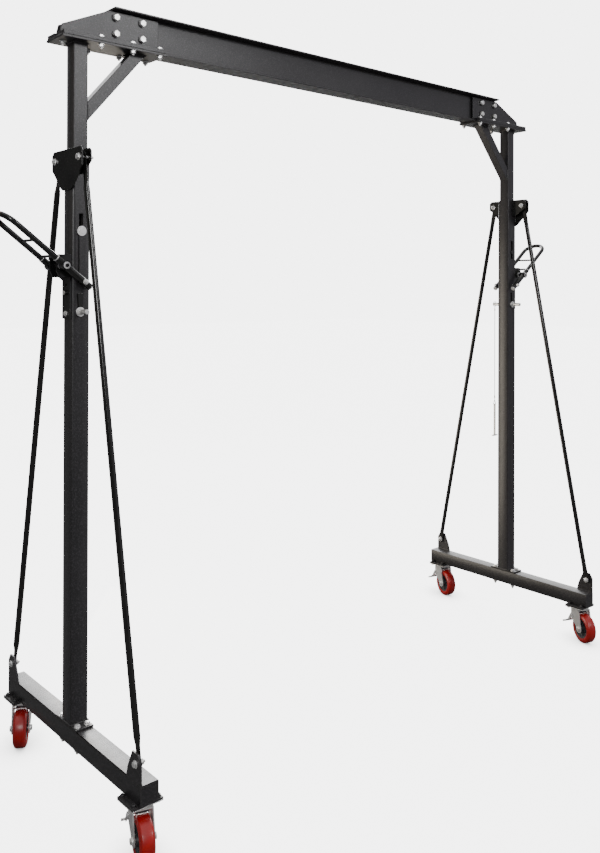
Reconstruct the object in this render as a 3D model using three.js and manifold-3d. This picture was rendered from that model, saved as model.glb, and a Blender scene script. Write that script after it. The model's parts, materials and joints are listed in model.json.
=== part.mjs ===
// Portable gantry crane: an I-beam on two telescoping legs, each with a lever jack, stays and braked casters.
// Millimetres, +Z up. +X runs along the beam, +Y along the base bars, origin on the floor in the middle.
import * as THREE from "three";
import { mergeVertices } from "three/addons/utils/BufferGeometryUtils.js";
import Module from "manifold-3d";

const wasm = await Module();
wasm.setup();

// ---- Driving dimensions -------------------------------------------------------------------------
const GAP = 0.3; // air left between touching pieces
const SPAN = 2300; // between the two post axes
const BAR = 60; // base bar and outer post, square tube
const WALL = 4;
const BAR_LENGTH = 900;
const BAR_BOTTOM = 160;
const BAR_TOP = BAR_BOTTOM + BAR;
const FOOT = { x: 60, y: 136, z: 6 };
const POST_TOP = 2030;
const INNER = 50; // inner post, square tube
const INNER_WALL = 3.5;
const INNER_BOTTOM = 290;

const BEAM = { length: 2070, height: 127, width: 76, web: 5.4, flange: 8.3, fillet: 7 };
const BEAM_BOTTOM = 2383;
const HEAD = { z: 8, inner: 295, outer: 74, half: 58 }; // reach from the post axis, inwards and outwards
const GUSSET = { plate: 5, flange: 5, top: 117, slopeStart: 105, slopeEnd: 60, outerTop: 42 };
const KNEE = { tube: 40, wall: 3, postZ: 2160, headReach: 212 };

const FAN = { half: 102, top: 2035, bottom: 1906, shoulder: 1985, thick: 6, neck: 27 };
const EAR = { reach: 104, top: 2032, bottom: 1955, thick: 5 };
const STAY = { tube: 10, x: -18, topY: 82, topZ: 2003, endY: 424, endZ: 272, flat: 5, tongue: 92 };
const LUG = { thick: 6, y0: 372, y1: 449, height: 82, topY: 404 };

const JACK = { pivotX: -65, pivotZ: 1667, tilt: THREE.MathUtils.degToRad(38), pin: 6 };
const HANDLE = {
  tube: 9,
  half: 52,
  reach: 246,
  corner: 50,
  inner: 112,
  socket: 34,
  rung: 4.5,
  rungs: [46, 122],
};
const CARRIAGE = { z: 1777, pin: 6, cap: 9, disc: 16, discZ: 7, barWidth: 16, barThick: 5, barBottom: 1604 };
const CARRIAGE_SLOT = { bottom: 1744, top: 1832, width: 14 };
const BRACKET = { thick: 6, half: 26, top: 1702, bottom: 1500, ear: 6, earReach: 50 };
const PAWL = { top: 1580, bottom: 1537, wide: 20, narrow: 13, thick: 5 };
const LOAD_PIN = { x: -3, z: 1522, r: 8, near: 76, far: 80, disc: 15, discThick: 4 };
const INNER_SLOT = { width: 24, bottom: 300, top: 1880 };

const CASTER = { y: 400, plateX: 100, plateY: 86, pad: 6, plate: 3, race: 28, raceZ: 6, trail: 35 };
const WHEEL = { r: 62.5, tread: 17, shoulder: 23, bead: 21, rim: 42, hub: 19, axle: 6 };
const FORK = { half: 27, thick: 4, yokeZ: 5, yokeR: 31, boss: 18 };
const BRAKE = {
  pin: 4,
  y: 14,
  z: 110,
  arm: 3,
  bladeY: 33,
  bladeZ: 86,
  tipY: 72,
  tipZ: 62,
  thick: 3,
  over: 4,
};

const LANYARD = { r: 1.5, top: 1508, bottom: 1048, y: -72 };
const LOCK_PIN = { r: 5, top: 1020, bottom: 866 };

// ---- Finishes -----------------------------------------------------------------------------------
const finish = (color, roughness, metalness) => () =>
  new THREE.MeshStandardMaterial({ color, roughness, metalness });
const powderCoat = finish(0x26232a, 0.62, 0.15);
const zinc = finish(0xd5d7d8, 0.32, 0.9);
const polyurethane = finish(0xb3160f, 0.34, 0.0);
const hubPlastic = finish(0x1d1d1f, 0.5, 0.0);
const wire = finish(0x8a8c8f, 0.4, 0.8);

// ---- Solid helpers ------------------------------------------------------------------------------
/** A three.js geometry as a manifold solid. */
function solid(geometry) {
  const g = geometry.index ? geometry.toNonIndexed() : geometry.clone();
  g.deleteAttribute("normal");
  g.deleteAttribute("uv");
  const merged = mergeVertices(g, 1e-4);
  return new wasm.Manifold(
    new wasm.Mesh({
      numProp: 3,
      vertProperties: new Float32Array(merged.attributes.position.array),
      triVerts: new Uint32Array(merged.index.array),
    }),
  );
}

/** A manifold solid back as a three.js geometry. */
function geometryOf(made) {
  const mesh = made.getMesh();
  const g = new THREE.BufferGeometry();
  g.setAttribute("position", new THREE.BufferAttribute(new Float32Array(mesh.vertProperties), 3));
  g.setIndex(Array.from(mesh.triVerts));
  g.computeVertexNormals();
  return g;
}

const join = (...parts) => parts.reduce((a, b) => a.add(b));
const cut = (from, ...tools) => tools.reduce((a, b) => a.subtract(b), from);

/** A block between two corners. */
function block(x0, x1, y0, y1, z0, z1) {
  const g = new THREE.BoxGeometry(x1 - x0, y1 - y0, z1 - z0);
  g.translate((x0 + x1) / 2, (y0 + y1) / 2, (z0 + z1) / 2);
  return solid(g);
}

/** A round bar between two points. */
function rod(from, to, r, sides = 14) {
  const a = new THREE.Vector3(...from);
  const b = new THREE.Vector3(...to);
  const g = new THREE.CylinderGeometry(r, r, a.distanceTo(b), sides);
  g.applyQuaternion(
    new THREE.Quaternion().setFromUnitVectors(
      new THREE.Vector3(0, 1, 0),
      b.clone().sub(a).normalize(),
    ),
  );
  const middle = a.clone().add(b).multiplyScalar(0.5);
  g.translate(middle.x, middle.y, middle.z);
  return solid(g);
}

/** A polygon pushed along one axis: plane "xz" grows along Y, "yz" along X, "xy" along Z. */
function prism(plane, points, from, to) {
  const shape = new THREE.Shape(points.map(([u, v]) => new THREE.Vector2(u, v)));
  const g = new THREE.ExtrudeGeometry(shape, { depth: to - from, bevelEnabled: false });
  if (plane === "xy") {
    g.translate(0, 0, from);
  } else if (plane === "xz") {
    g.rotateX(Math.PI / 2);
    g.translate(0, to, 0);
  } else {
    g.rotateY(Math.PI / 2);
    g.rotateX(Math.PI / 2);
    g.translate(from, 0, 0);
  }
  return solid(g);
}

/** The outline of a square with rounded corners. */
function roundedSquare(half, r, steps = 2) {
  const points = [];
  for (let corner = 0; corner < 4; corner++) {
    const start = (corner * Math.PI) / 2;
    const cx = (half - r) * (corner === 0 || corner === 3 ? 1 : -1);
    const cy = (half - r) * (corner < 2 ? 1 : -1);
    for (let i = 0; i <= steps; i++) {
      const t = start + (i / steps) * (Math.PI / 2);
      points.push([cx + r * Math.cos(t), cy + r * Math.sin(t)]);
    }
  }
  return points;
}

/** A square tube standing along Z. */
function squareTube(size, wall, z0, z1) {
  return prism("xy", roundedSquare(size / 2, wall * 1.2), z0, z1).subtract(
    prism("xy", roundedSquare(size / 2 - wall, 1.5), z0 - 5, z1 + 5),
  );
}

/** A ring of revolution about X from a closed profile of [radius, x] points. */
function turned(profile, sides) {
  const points = profile.map(([r, x]) => new THREE.Vector2(r, x));
  const g = new THREE.LatheGeometry([...points, points[0].clone()], sides);
  g.rotateZ(-Math.PI / 2);
  return solid(g).volume() < 0 ? solid(g.scale(1, 1, -1)) : solid(g);
}

/** A named mesh. */
function node(name, made, coat) {
  const mesh = new THREE.Mesh(geometryOf(made), coat());
  mesh.name = name;
  return mesh;
}

// ---- Beam and its seats -------------------------------------------------------------------------
function beam() {
  const { height, width, web, flange, fillet } = BEAM;
  const w = width / 2;
  const s = web / 2;
  const top = height / 2;
  const in1 = top - flange;
  const half = [
    [w, top],
    [w, in1 + 2.4],
    [s + fillet, in1],
    [s, in1 - fillet],
  ];
  const right = [...half, ...half.map(([y, z]) => [y, -z]).reverse()];
  const outline = [...right, ...right.map(([y, z]) => [-y, z]).reverse()];
  const made = prism("yz", outline, -BEAM.length / 2, BEAM.length / 2);
  return node("beam", made.translate([0, 0, BEAM_BOTTOM + top]), powderCoat);
}

/** A bolted seat angle; side is the face of the web it stands on. */
function gusset(name, side) {
  const inner = HEAD.inner - 5;
  const end = SPAN / 2 - BEAM.length / 2; // where the beam stops, from the post axis
  const web = BEAM.web / 2 + GAP;
  const seat = BEAM_BOTTOM + BEAM.flange + GAP;
  const plate = [
    [inner, seat],
    [inner, BEAM_BOTTOM + GUSSET.top],
    [GUSSET.slopeStart, BEAM_BOTTOM + GUSSET.top],
    [-GUSSET.slopeEnd, BEAM_BOTTOM + GUSSET.outerTop],
    [-GUSSET.slopeEnd - 8, seat],
  ];
  const y = (a, b) => (side > 0 ? [a, b] : [-b, -a]);
  const upright = prism("xz", plate, ...y(web + BEAM.fillet, web + BEAM.fillet + GUSSET.plate));
  const flangeY = y(web + BEAM.fillet, HEAD.half);
  const over = block(-HEAD.outer, HEAD.inner, ...flangeY, seat, seat + GUSSET.flange);
  const edge = block(-HEAD.outer, HEAD.inner, ...y(BEAM.width / 2 + 1, HEAD.half), BEAM_BOTTOM, seat + 1);
  const butt = block(-HEAD.outer, end - 2, ...flangeY, BEAM_BOTTOM, seat + 1);
  return node(name, join(upright, over, edge, butt), powderCoat);
}

function headPlate(name) {
  const top = BEAM_BOTTOM - GAP;
  const plate = block(-HEAD.outer - 4, HEAD.inner + 4, -HEAD.half, HEAD.half, top - HEAD.z, top);
  return node(name, plate, powderCoat);
}

/** The brace from the inner post to the head plate. */
function kneeBrace(name) {
  const post = INNER / 2 + GAP;
  const head = BEAM_BOTTOM - HEAD.z - 2 * GAP;
  const slope = (head - KNEE.postZ) / (KNEE.headReach - post);
  const outline = (depth, past) => {
    const rise = depth * Math.sqrt(1 + slope * slope);
    const run = rise / slope;
    return [
      [post - past, KNEE.postZ - rise - past * slope],
      [KNEE.headReach + run + past, head + past * slope],
      [KNEE.headReach - run + past, head + past * slope],
      [post - past, KNEE.postZ + rise - past * slope],
    ];
  };
  const half = KNEE.tube / 2;
  const skin = prism("xz", outline(half, 0), -half, half);
  const bore = prism("xz", outline(half - KNEE.wall, 30), -half + KNEE.wall, half - KNEE.wall);
  return node(name, skin.subtract(bore), powderCoat);
}

function innerPost(name) {
  const tube = squareTube(INNER, INNER_WALL, INNER_BOTTOM, BEAM_BOTTOM - HEAD.z - 2 * GAP);
  const s = INNER_SLOT;
  const slot = block(-s.width / 2, s.width / 2, -INNER, INNER, s.bottom, s.top);
  return node(name, tube.subtract(slot), powderCoat);
}

// ---- Leg ----------------------------------------------------------------------------------------
function outerPost(name) {
  const foot = block(-FOOT.x / 2, FOOT.x / 2, -FOOT.y / 2, FOOT.y / 2, BAR_TOP + GAP, BAR_TOP + GAP + FOOT.z);
  const tube = squareTube(BAR, WALL, BAR_TOP + FOOT.z, POST_TOP);
  const c = CARRIAGE_SLOT;
  const slot = block(-c.width / 2, c.width / 2, -BAR, BAR, c.bottom, c.top);
  const p = LOAD_PIN;
  const hole = rod([p.x, -BAR, p.z], [p.x, BAR, p.z], p.r + 0.5, 16);
  return node(name, cut(join(foot, tube), slot, hole), powderCoat);
}

/** The base bar with its caster pads and the two stay lugs welded on. */
function baseBar(name) {
  const half = BAR_LENGTH / 2;
  const tube = prism(
    "xz",
    roundedSquare(BAR / 2, 4).map(([x, z]) => [x, z + (BAR_TOP + BAR_BOTTOM) / 2]),
    -half,
    half,
  );
  const core = block(-26, 26, -half + 4, half - 4, BAR_BOTTOM + 4, BAR_TOP - 4);
  const vent = rod([0, 0, BAR_BOTTOM - 1], [0, 0, BAR_BOTTOM + 6], 6, 12);
  const pads = [-1, 1].map((s) =>
    block(
      -CASTER.plateX / 2,
      CASTER.plateX / 2,
      s * CASTER.y - CASTER.plateY / 2,
      s * CASTER.y + CASTER.plateY / 2,
      BAR_BOTTOM - CASTER.pad,
      BAR_BOTTOM + 0.5,
    ),
  );
  const lugs = [-1, 1].map((s) => {
    const outline = [
      [LUG.y0, BAR_TOP - 1],
      [LUG.y1, BAR_TOP - 1],
      [LUG.y1, BAR_TOP + LUG.height - 22],
      [LUG.y1 - 14, BAR_TOP + LUG.height],
      [LUG.topY, BAR_TOP + LUG.height],
      [LUG.y0 + 8, BAR_TOP + 30],
    ].map(([y, z]) => [s * y, z]);
    const turn = s > 0 ? outline : outline.reverse();
    return prism("yz", turn, -BAR / 2, -BAR / 2 + LUG.thick);
  });
  return node(name, cut(join(tube, ...pads, ...lugs), core, vent), powderCoat);
}

/** The outer plate that the tops of the stays bolt to. */
function fanPlate(name) {
  const { half, top, bottom, shoulder, neck } = FAN;
  const right = [
    [half - 12, top],
    [half, top - 12],
    [half, shoulder - 10],
    [neck + 12, bottom + 6],
    [neck, bottom],
  ];
  const outline = [...right, ...right.map(([y, z]) => [-y, z]).reverse()].reverse();
  const x = -BAR / 2 - GAP;
  return node(name, prism("yz", outline, x - FAN.thick, x), powderCoat);
}

/** The inner ear that holds the other side of a stay's tongue. */
function ear(name, side) {
  const y0 = BAR / 2 + GAP;
  const outline = [
    [y0, EAR.bottom],
    [y0 + 18, EAR.bottom],
    [EAR.reach, EAR.top - 42],
    [EAR.reach, EAR.top - 10],
    [EAR.reach - 10, EAR.top],
    [y0, EAR.top],
  ].map(([y, z]) => [side * y, z]);
  const turn = side > 0 ? outline : outline.reverse();
  return node(name, prism("yz", turn, -EAR.thick - 2, -2), powderCoat);
}

/** A round stay flattened at both ends, from the fan plate down to its lug. */
function stay(name, side) {
  const top = new THREE.Vector3(STAY.x, side * STAY.topY, STAY.topZ);
  const low = new THREE.Vector3(STAY.x, side * STAY.endY, STAY.endZ);
  const along = low.clone().sub(top).normalize();
  const at = (from, d) => from.clone().addScaledVector(along, d).toArray();
  const tube = rod(at(top, STAY.tongue - 22), at(low, -34), STAY.tube, 12);
  const angle = Math.atan2(side * (STAY.endY - STAY.topY), STAY.topZ - STAY.endZ);
  const tongue = (from, to, way) => {
    const g = new THREE.BoxGeometry(STAY.flat, 2.6 * STAY.tube, from + to);
    g.translate(0, 0, ((from - to) / 2) * way);
    g.rotateX(angle);
    return g;
  };
  const upper = tongue(14, STAY.tongue, 1);
  upper.translate(...top.toArray());
  const lower = tongue(14, 52, -1);
  lower.translate(...low.toArray());
  return node(name, join(tube, solid(upper), solid(lower)), powderCoat);
}

/** The bracket on the outer face: a long plate, two ears and the lever's pivot pin. */
function leverBracket(name) {
  const x = -BAR / 2 - GAP;
  const plate = block(x - BRACKET.thick, x, -BRACKET.half, BRACKET.half, BRACKET.bottom, BRACKET.top);
  const reach = x - BRACKET.earReach;
  const ears = [-1, 1].map((s) => {
    const outline = [
      [x - 1, BRACKET.top],
      [reach + 8, BRACKET.top],
      [reach, BRACKET.top - 8],
      [reach, BRACKET.top - 52],
      [reach + 10, BRACKET.top - 72],
      [x - 1, BRACKET.top - 72],
    ].reverse();
    const y = [s * BRACKET.half, s * (BRACKET.half - BRACKET.ear)].sort((a, b) => a - b);
    return prism("xz", outline, ...y);
  });
  const tip = HANDLE.half + 17;
  const pin = rod([JACK.pivotX, -tip, JACK.pivotZ], [JACK.pivotX, tip, JACK.pivotZ], JACK.pin, 16);
  const hole = rod([x - 20, 0, BRACKET.bottom + 106], [x + 5, 0, BRACKET.bottom + 106], 5.5, 16);
  const boss = rod([x - BRACKET.thick - 7, 0, BRACKET.bottom + 82], [x - 1, 0, BRACKET.bottom + 82], 8, 16);
  return node(name, join(cut(plate, hole), ...ears, pin, boss), powderCoat);
}

/** The U-shaped jack lever: two arms past the post, a tube loop socketed into them and two rungs. */
function leverHandle(name) {
  const { tube, half, reach, corner, inner, socket } = HANDLE;
  const v = (x, y) => new THREE.Vector3(x, y, 0);
  const bend = (cx, cy, from) =>
    [0, 1, 2, 3, 4].map((i) => {
      const t = from + (i / 4) * (Math.PI / 2);
      return v(cx + corner * Math.cos(t), cy + corner * Math.sin(t));
    });
  const straight = [0, 0.5, 0.98].map((t) => THREE.MathUtils.lerp(-socket + 8, -reach + corner, t));
  const points = [
    ...straight.map((x) => v(x, half)),
    ...bend(-reach + corner, half - corner, Math.PI / 2),
    ...bend(-reach + corner, -half + corner, Math.PI),
    ...straight.map((x) => v(x, -half)).reverse(),
  ];
  const ring = new THREE.Shape();
  ring.absarc(0, 0, tube, 0, 2 * Math.PI);
  const loop = new THREE.ExtrudeGeometry(ring, {
    steps: 24,
    curveSegments: 5,
    bevelEnabled: false,
    extrudePath: new THREE.CatmullRomCurve3(points, false, "centripetal"),
  });
  const sides = [-half, half];
  const arms = sides.map((y) => rod([inner, y, 0], [-socket, y, 0], tube + 2, 12));
  const bars = HANDLE.rungs.map((d) => rod([-d, -half, 0], [-d, half, 0], HANDLE.rung, 8));
  const sleeves = sides.map((y) => rod([0, y - 13, 0], [0, y + 13, 0], 15, 16));
  const bore = rod([0, -half - 20, 0], [0, half + 20, 0], JACK.pin + 0.5, 16);
  const post = -JACK.pivotX / Math.cos(JACK.tilt);
  const studs = [-1, 1].map((s) =>
    rod([post, s * (BAR / 2 + CARRIAGE.barThick + 1.2), 0], [post, s * half, 0], 5, 10),
  );
  const made = cut(join(solid(loop), ...arms, ...bars, ...sleeves, ...studs), bore);
  const g = geometryOf(made);
  g.rotateY(JACK.tilt);
  g.translate(JACK.pivotX, 0, JACK.pivotZ);
  return node(name, solid(g), powderCoat);
}

/** The cross pin that lifts the inner post, with its disc, its link bar and a cap on the far face. */
function jackCarriage(name) {
  const face = BAR / 2 + GAP;
  const c = CARRIAGE;
  const tip = face + c.discZ;
  const pin = rod([0, -tip + 1, c.z], [0, tip - 1, c.z], c.pin, 12);
  const disc = rod([0, -face, c.z], [0, -tip, c.z], c.disc, 20);
  const bar = block(-c.barWidth / 2, c.barWidth / 2, -face - c.barThick, -face, c.barBottom, c.z);
  const cap = rod([0, face, c.z], [0, tip - 3, c.z], c.cap, 16);
  return node(name, join(pin, disc, bar, cap), zinc);
}

/** The dark plate on a side face that keeps the load pin. */
function pawlPlate(name, side) {
  const y = [side * (BAR / 2 + GAP), side * (BAR / 2 + GAP + PAWL.thick)].sort((a, b) => a - b);
  const w = PAWL.wide / 2;
  const n = PAWL.narrow / 2;
  const outline = [
    [-w - 3, PAWL.top],
    [-n - 3, PAWL.bottom],
    [n - 3, PAWL.bottom],
    [w - 3, PAWL.top],
  ];
  return node(name, prism("xz", outline, ...y), powderCoat);
}

/** The through pin under the jack, with a washer on each face. */
function loadPin(name) {
  const p = LOAD_PIN;
  const shaft = rod([p.x, -p.far, p.z], [p.x, p.near, p.z], p.r, 16);
  const face = BAR / 2 + GAP;
  const discs = [-1, 1].map((s) =>
    rod([p.x, s * face, p.z], [p.x, s * (face + p.discThick), p.z], p.disc, 20),
  );
  return node(name, join(shaft, ...discs), zinc);
}

// ---- Casters ------------------------------------------------------------------------------------
/** One caster about its own swivel axis, wheel trailing towards -Y before it is turned. */
function caster(prefix) {
  const group = new THREE.Group();
  const top = BAR_BOTTOM - CASTER.pad - GAP;
  const low = top - CASTER.plate;
  const half = [CASTER.plateX / 2, CASTER.plateY / 2];
  const plate = block(-half[0], half[0], -half[1], half[1], low, top);
  const race = rod([0, 0, low - CASTER.raceZ], [0, 0, low + 1], CASTER.race, 20);
  group.userData.fixed = node(`${prefix}_plate`, join(plate, race), zinc);

  const yokeTop = low - CASTER.raceZ - 0.4;
  const yokeLow = yokeTop - FORK.yokeZ;
  const yoke = rod([0, 0, yokeLow], [0, 0, yokeTop], FORK.yokeR, 20);
  const bridge = block(-FORK.half - FORK.thick, FORK.half + FORK.thick, -34, BRAKE.y + 7, yokeLow, yokeTop);
  const axis = [-CASTER.trail, WHEEL.r];
  const legs = [-1, 1].map((s) => {
    const outline = [
      [axis[0] - FORK.boss, axis[1] + 4],
      [axis[0] - FORK.boss * 0.9, axis[1] - 9],
      [axis[0] - FORK.boss * 0.5, axis[1] - FORK.boss * 0.9],
      [axis[0] + FORK.boss * 0.5, axis[1] - FORK.boss * 0.9],
      [axis[0] + FORK.boss * 0.9, axis[1] - 9],
      [axis[0] + FORK.boss, axis[1] + 4],
      [BRAKE.y + 7, BRAKE.z - 10],
      [BRAKE.y + 7, yokeLow + 1],
      [-34, yokeLow + 1],
      [-38, yokeLow - 20],
    ];
    const x = [s * FORK.half, s * (FORK.half + FORK.thick)].sort((a, b) => a - b);
    return prism("yz", outline, ...x);
  });
  const reach = FORK.half + FORK.thick;
  const axle = rod([-reach - 7, ...axis], [reach + 7, ...axis], WHEEL.axle, 12);
  const heads = [-1, 1].map((s) => rod([s * (reach - 1), ...axis], [s * (reach + 5), ...axis], 10, 6));
  const pinAt = [BRAKE.y, BRAKE.z];
  const pin = rod([-reach - 6, ...pinAt], [reach + 6, ...pinAt], BRAKE.pin, 10);
  group.add(node(`${prefix}_fork`, join(yoke, bridge, ...legs, axle, ...heads, pin), zinc));

  const w = WHEEL;
  const tyre = turned(
    [
      [w.rim, -w.bead],
      [w.r - 11, -w.shoulder],
      [w.r - 4, -w.tread - 3],
      [w.r, -w.tread + 2],
      [w.r, w.tread - 2],
      [w.r - 4, w.tread + 3],
      [w.r - 11, w.shoulder],
      [w.rim, w.bead],
    ],
    32,
  );
  const rim = w.rim - GAP;
  const hub = turned(
    [
      [w.axle + 0.5, -w.bead - 2],
      [16, -w.bead - 2],
      [rim - 8, -7],
      [rim, -w.hub],
      [rim, w.hub],
      [rim - 8, 7],
      [16, w.bead + 2],
      [w.axle + 0.5, w.bead + 2],
    ],
    24,
  );
  group.add(node(`${prefix}_tyre`, tyre.translate([0, ...axis]), polyurethane));
  group.add(node(`${prefix}_hub`, hub.translate([0, ...axis]), hubPlastic));

  const b = BRAKE;
  const armIn = reach + 0.6;
  const arms = [-1, 1].map((s) => {
    const outline = [
      [b.y - 7, b.z - 5],
      [b.bladeY - 2, b.bladeZ - 6],
      [b.bladeY + 6, b.bladeZ],
      [b.bladeY + 2, b.bladeZ + 6],
      [b.y + 5, b.z + 7],
      [b.y - 6, b.z + 6],
    ];
    const x = [s * armIn, s * (armIn + b.arm)].sort((p, q) => p - q);
    return prism("yz", outline, ...x);
  });
  const blade = prism(
    "yz",
    [
      [b.bladeY, b.bladeZ - b.thick],
      [b.tipY, b.tipZ - b.thick],
      [b.tipY + 2, b.tipZ + 5],
      [b.tipY - 6, b.tipZ + 2],
      [b.bladeY, b.bladeZ + 1],
    ],
    -armIn - b.arm - b.over,
    armIn + b.arm + b.over,
  );
  const bore = rod([-60, b.y, b.z], [60, b.y, b.z], b.pin + 0.4, 10);
  group.add(node(`${prefix}_brake`, cut(join(...arms, blade), bore), powderCoat));
  return group;
}

// ---- Lanyard ------------------------------------------------------------------------------------
function lanyard(name) {
  const path = new THREE.LineCurve3(
    new THREE.Vector3(LOAD_PIN.x, LANYARD.y, LANYARD.top),
    new THREE.Vector3(LOAD_PIN.x, LANYARD.y, LANYARD.bottom),
  );
  const shape = new THREE.Shape();
  shape.absarc(0, 0, LANYARD.r, 0, 2 * Math.PI);
  const g = new THREE.ExtrudeGeometry(shape, {
    steps: 12,
    curveSegments: 4,
    bevelEnabled: false,
    extrudePath: path,
  });
  return node(name, solid(g), wire);
}

/** The locking pin that hangs on the lanyard: triangular eye, straight pin, cross bar. */
function lockPin(name) {
  const p = LOCK_PIN;
  const x = LOAD_PIN.x;
  const y = LANYARD.y;
  const eye = [
    [x, y, LANYARD.bottom - 3],
    [x - 9, y, p.top + 4],
    [x + 9, y, p.top + 4],
  ];
  const wires = eye.map((a, i) => rod(a, eye[(i + 1) % 3], 1.6, 6));
  const knots = eye.map((a) => solid(new THREE.SphereGeometry(2, 6, 4).translate(...a)));
  const shank = rod([x, y, p.bottom], [x, y, p.top + 5], p.r, 10);
  const bar = rod([x - 20, y, p.bottom + 3], [x + 20, y, p.bottom + 3], 3.5, 8);
  return node(name, join(shank, bar, ...wires, ...knots), zinc);
}

// ---- Assembly -----------------------------------------------------------------------------------
const crane = new THREE.Group();
crane.add(beam());

/** One leg about its post axis, jack side towards -X before it is turned. */
function leg(side, turn, casterTurns) {
  const group = new THREE.Group();
  group.add(
    outerPost(`${side}_outer_post`),
    innerPost(`${side}_inner_post`),
    baseBar(`${side}_base_bar`),
    headPlate(`${side}_head_plate`),
    kneeBrace(`${side}_knee_brace`),
    gusset(`${side}_gusset_a`, -1),
    gusset(`${side}_gusset_b`, 1),
    fanPlate(`${side}_fan_plate`),
    ear(`${side}_ear_a`, -1),
    ear(`${side}_ear_b`, 1),
    stay(`${side}_stay_a`, -1),
    stay(`${side}_stay_b`, 1),
    leverBracket(`${side}_lever_bracket`),
    leverHandle(`${side}_lever`),
    jackCarriage(`${side}_jack_link`),
    pawlPlate(`${side}_pawl_plate_a`, -1),
    pawlPlate(`${side}_pawl_plate_b`, 1),
    loadPin(`${side}_load_pin`),
  );
  for (const [end, y] of [
    ["near", -CASTER.y],
    ["far", CASTER.y],
  ]) {
    const local = turn ? -y : y;
    const made = caster(`${side}_${end}`);
    made.userData.fixed.position.y = local;
    group.add(made.userData.fixed);
    made.position.y = local;
    made.rotation.z = THREE.MathUtils.degToRad(casterTurns[end]) - turn;
    group.add(made);
  }
  group.position.x = side === "left" ? -SPAN / 2 : SPAN / 2;
  group.rotation.z = turn;
  return group;
}

crane.add(leg("left", 0, { near: -17, far: -30 }));
const right = leg("right", Math.PI, { near: -23, far: -17 });
right.add(lanyard("lanyard"), lockPin("lock_pin"));
crane.add(right);

// The casters trail to one side, so the frame is set to the middle of the whole outline.
crane.updateMatrixWorld(true);
const outline = new THREE.Box3().setFromObject(crane, true);
crane.position.set(0, -(outline.min.y + outline.max.y) / 2, -outline.min.z);

const part = new THREE.Group();
part.name = "portable_gantry_crane";
part.add(crane);

export default part;
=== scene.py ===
"""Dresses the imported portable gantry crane: coated steel, zinc hardware, casters, lanyard and studio."""

import json
import logging
import math
from dataclasses import dataclass, field
from enum import Enum

import bmesh
import bpy
from mathutils import Matrix, Vector, noise


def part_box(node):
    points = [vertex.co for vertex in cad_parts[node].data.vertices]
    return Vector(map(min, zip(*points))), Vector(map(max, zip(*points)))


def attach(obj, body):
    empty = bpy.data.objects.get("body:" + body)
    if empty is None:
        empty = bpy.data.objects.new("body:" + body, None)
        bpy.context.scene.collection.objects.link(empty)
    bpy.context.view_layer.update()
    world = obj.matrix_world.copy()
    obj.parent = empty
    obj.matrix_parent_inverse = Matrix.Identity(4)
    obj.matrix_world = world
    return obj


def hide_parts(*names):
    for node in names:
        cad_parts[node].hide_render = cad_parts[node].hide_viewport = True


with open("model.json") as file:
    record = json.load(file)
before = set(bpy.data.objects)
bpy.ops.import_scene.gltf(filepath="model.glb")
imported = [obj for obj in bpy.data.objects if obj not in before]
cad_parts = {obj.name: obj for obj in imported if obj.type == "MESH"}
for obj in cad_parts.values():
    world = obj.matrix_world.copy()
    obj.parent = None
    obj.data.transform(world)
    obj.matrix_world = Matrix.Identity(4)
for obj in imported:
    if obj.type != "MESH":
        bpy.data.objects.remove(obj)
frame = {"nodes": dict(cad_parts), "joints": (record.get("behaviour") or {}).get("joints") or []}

LOG = logging.getLogger("gantry")

Point = tuple[float, float, float]
Outline = list[tuple[float, float]]


class Plane(Enum):
    """The plane an outline is drawn in; the prism grows along the third axis."""

    XY = "xy"
    XZ = "xz"
    YZ = "yz"


class Finish(Enum):
    """The finishes of the crane."""

    COAT = "coat"
    ENAMEL = "enamel"
    ZINC = "zinc"
    TREAD = "tread"
    HUB = "hub"
    WIRE = "wire"


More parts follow.
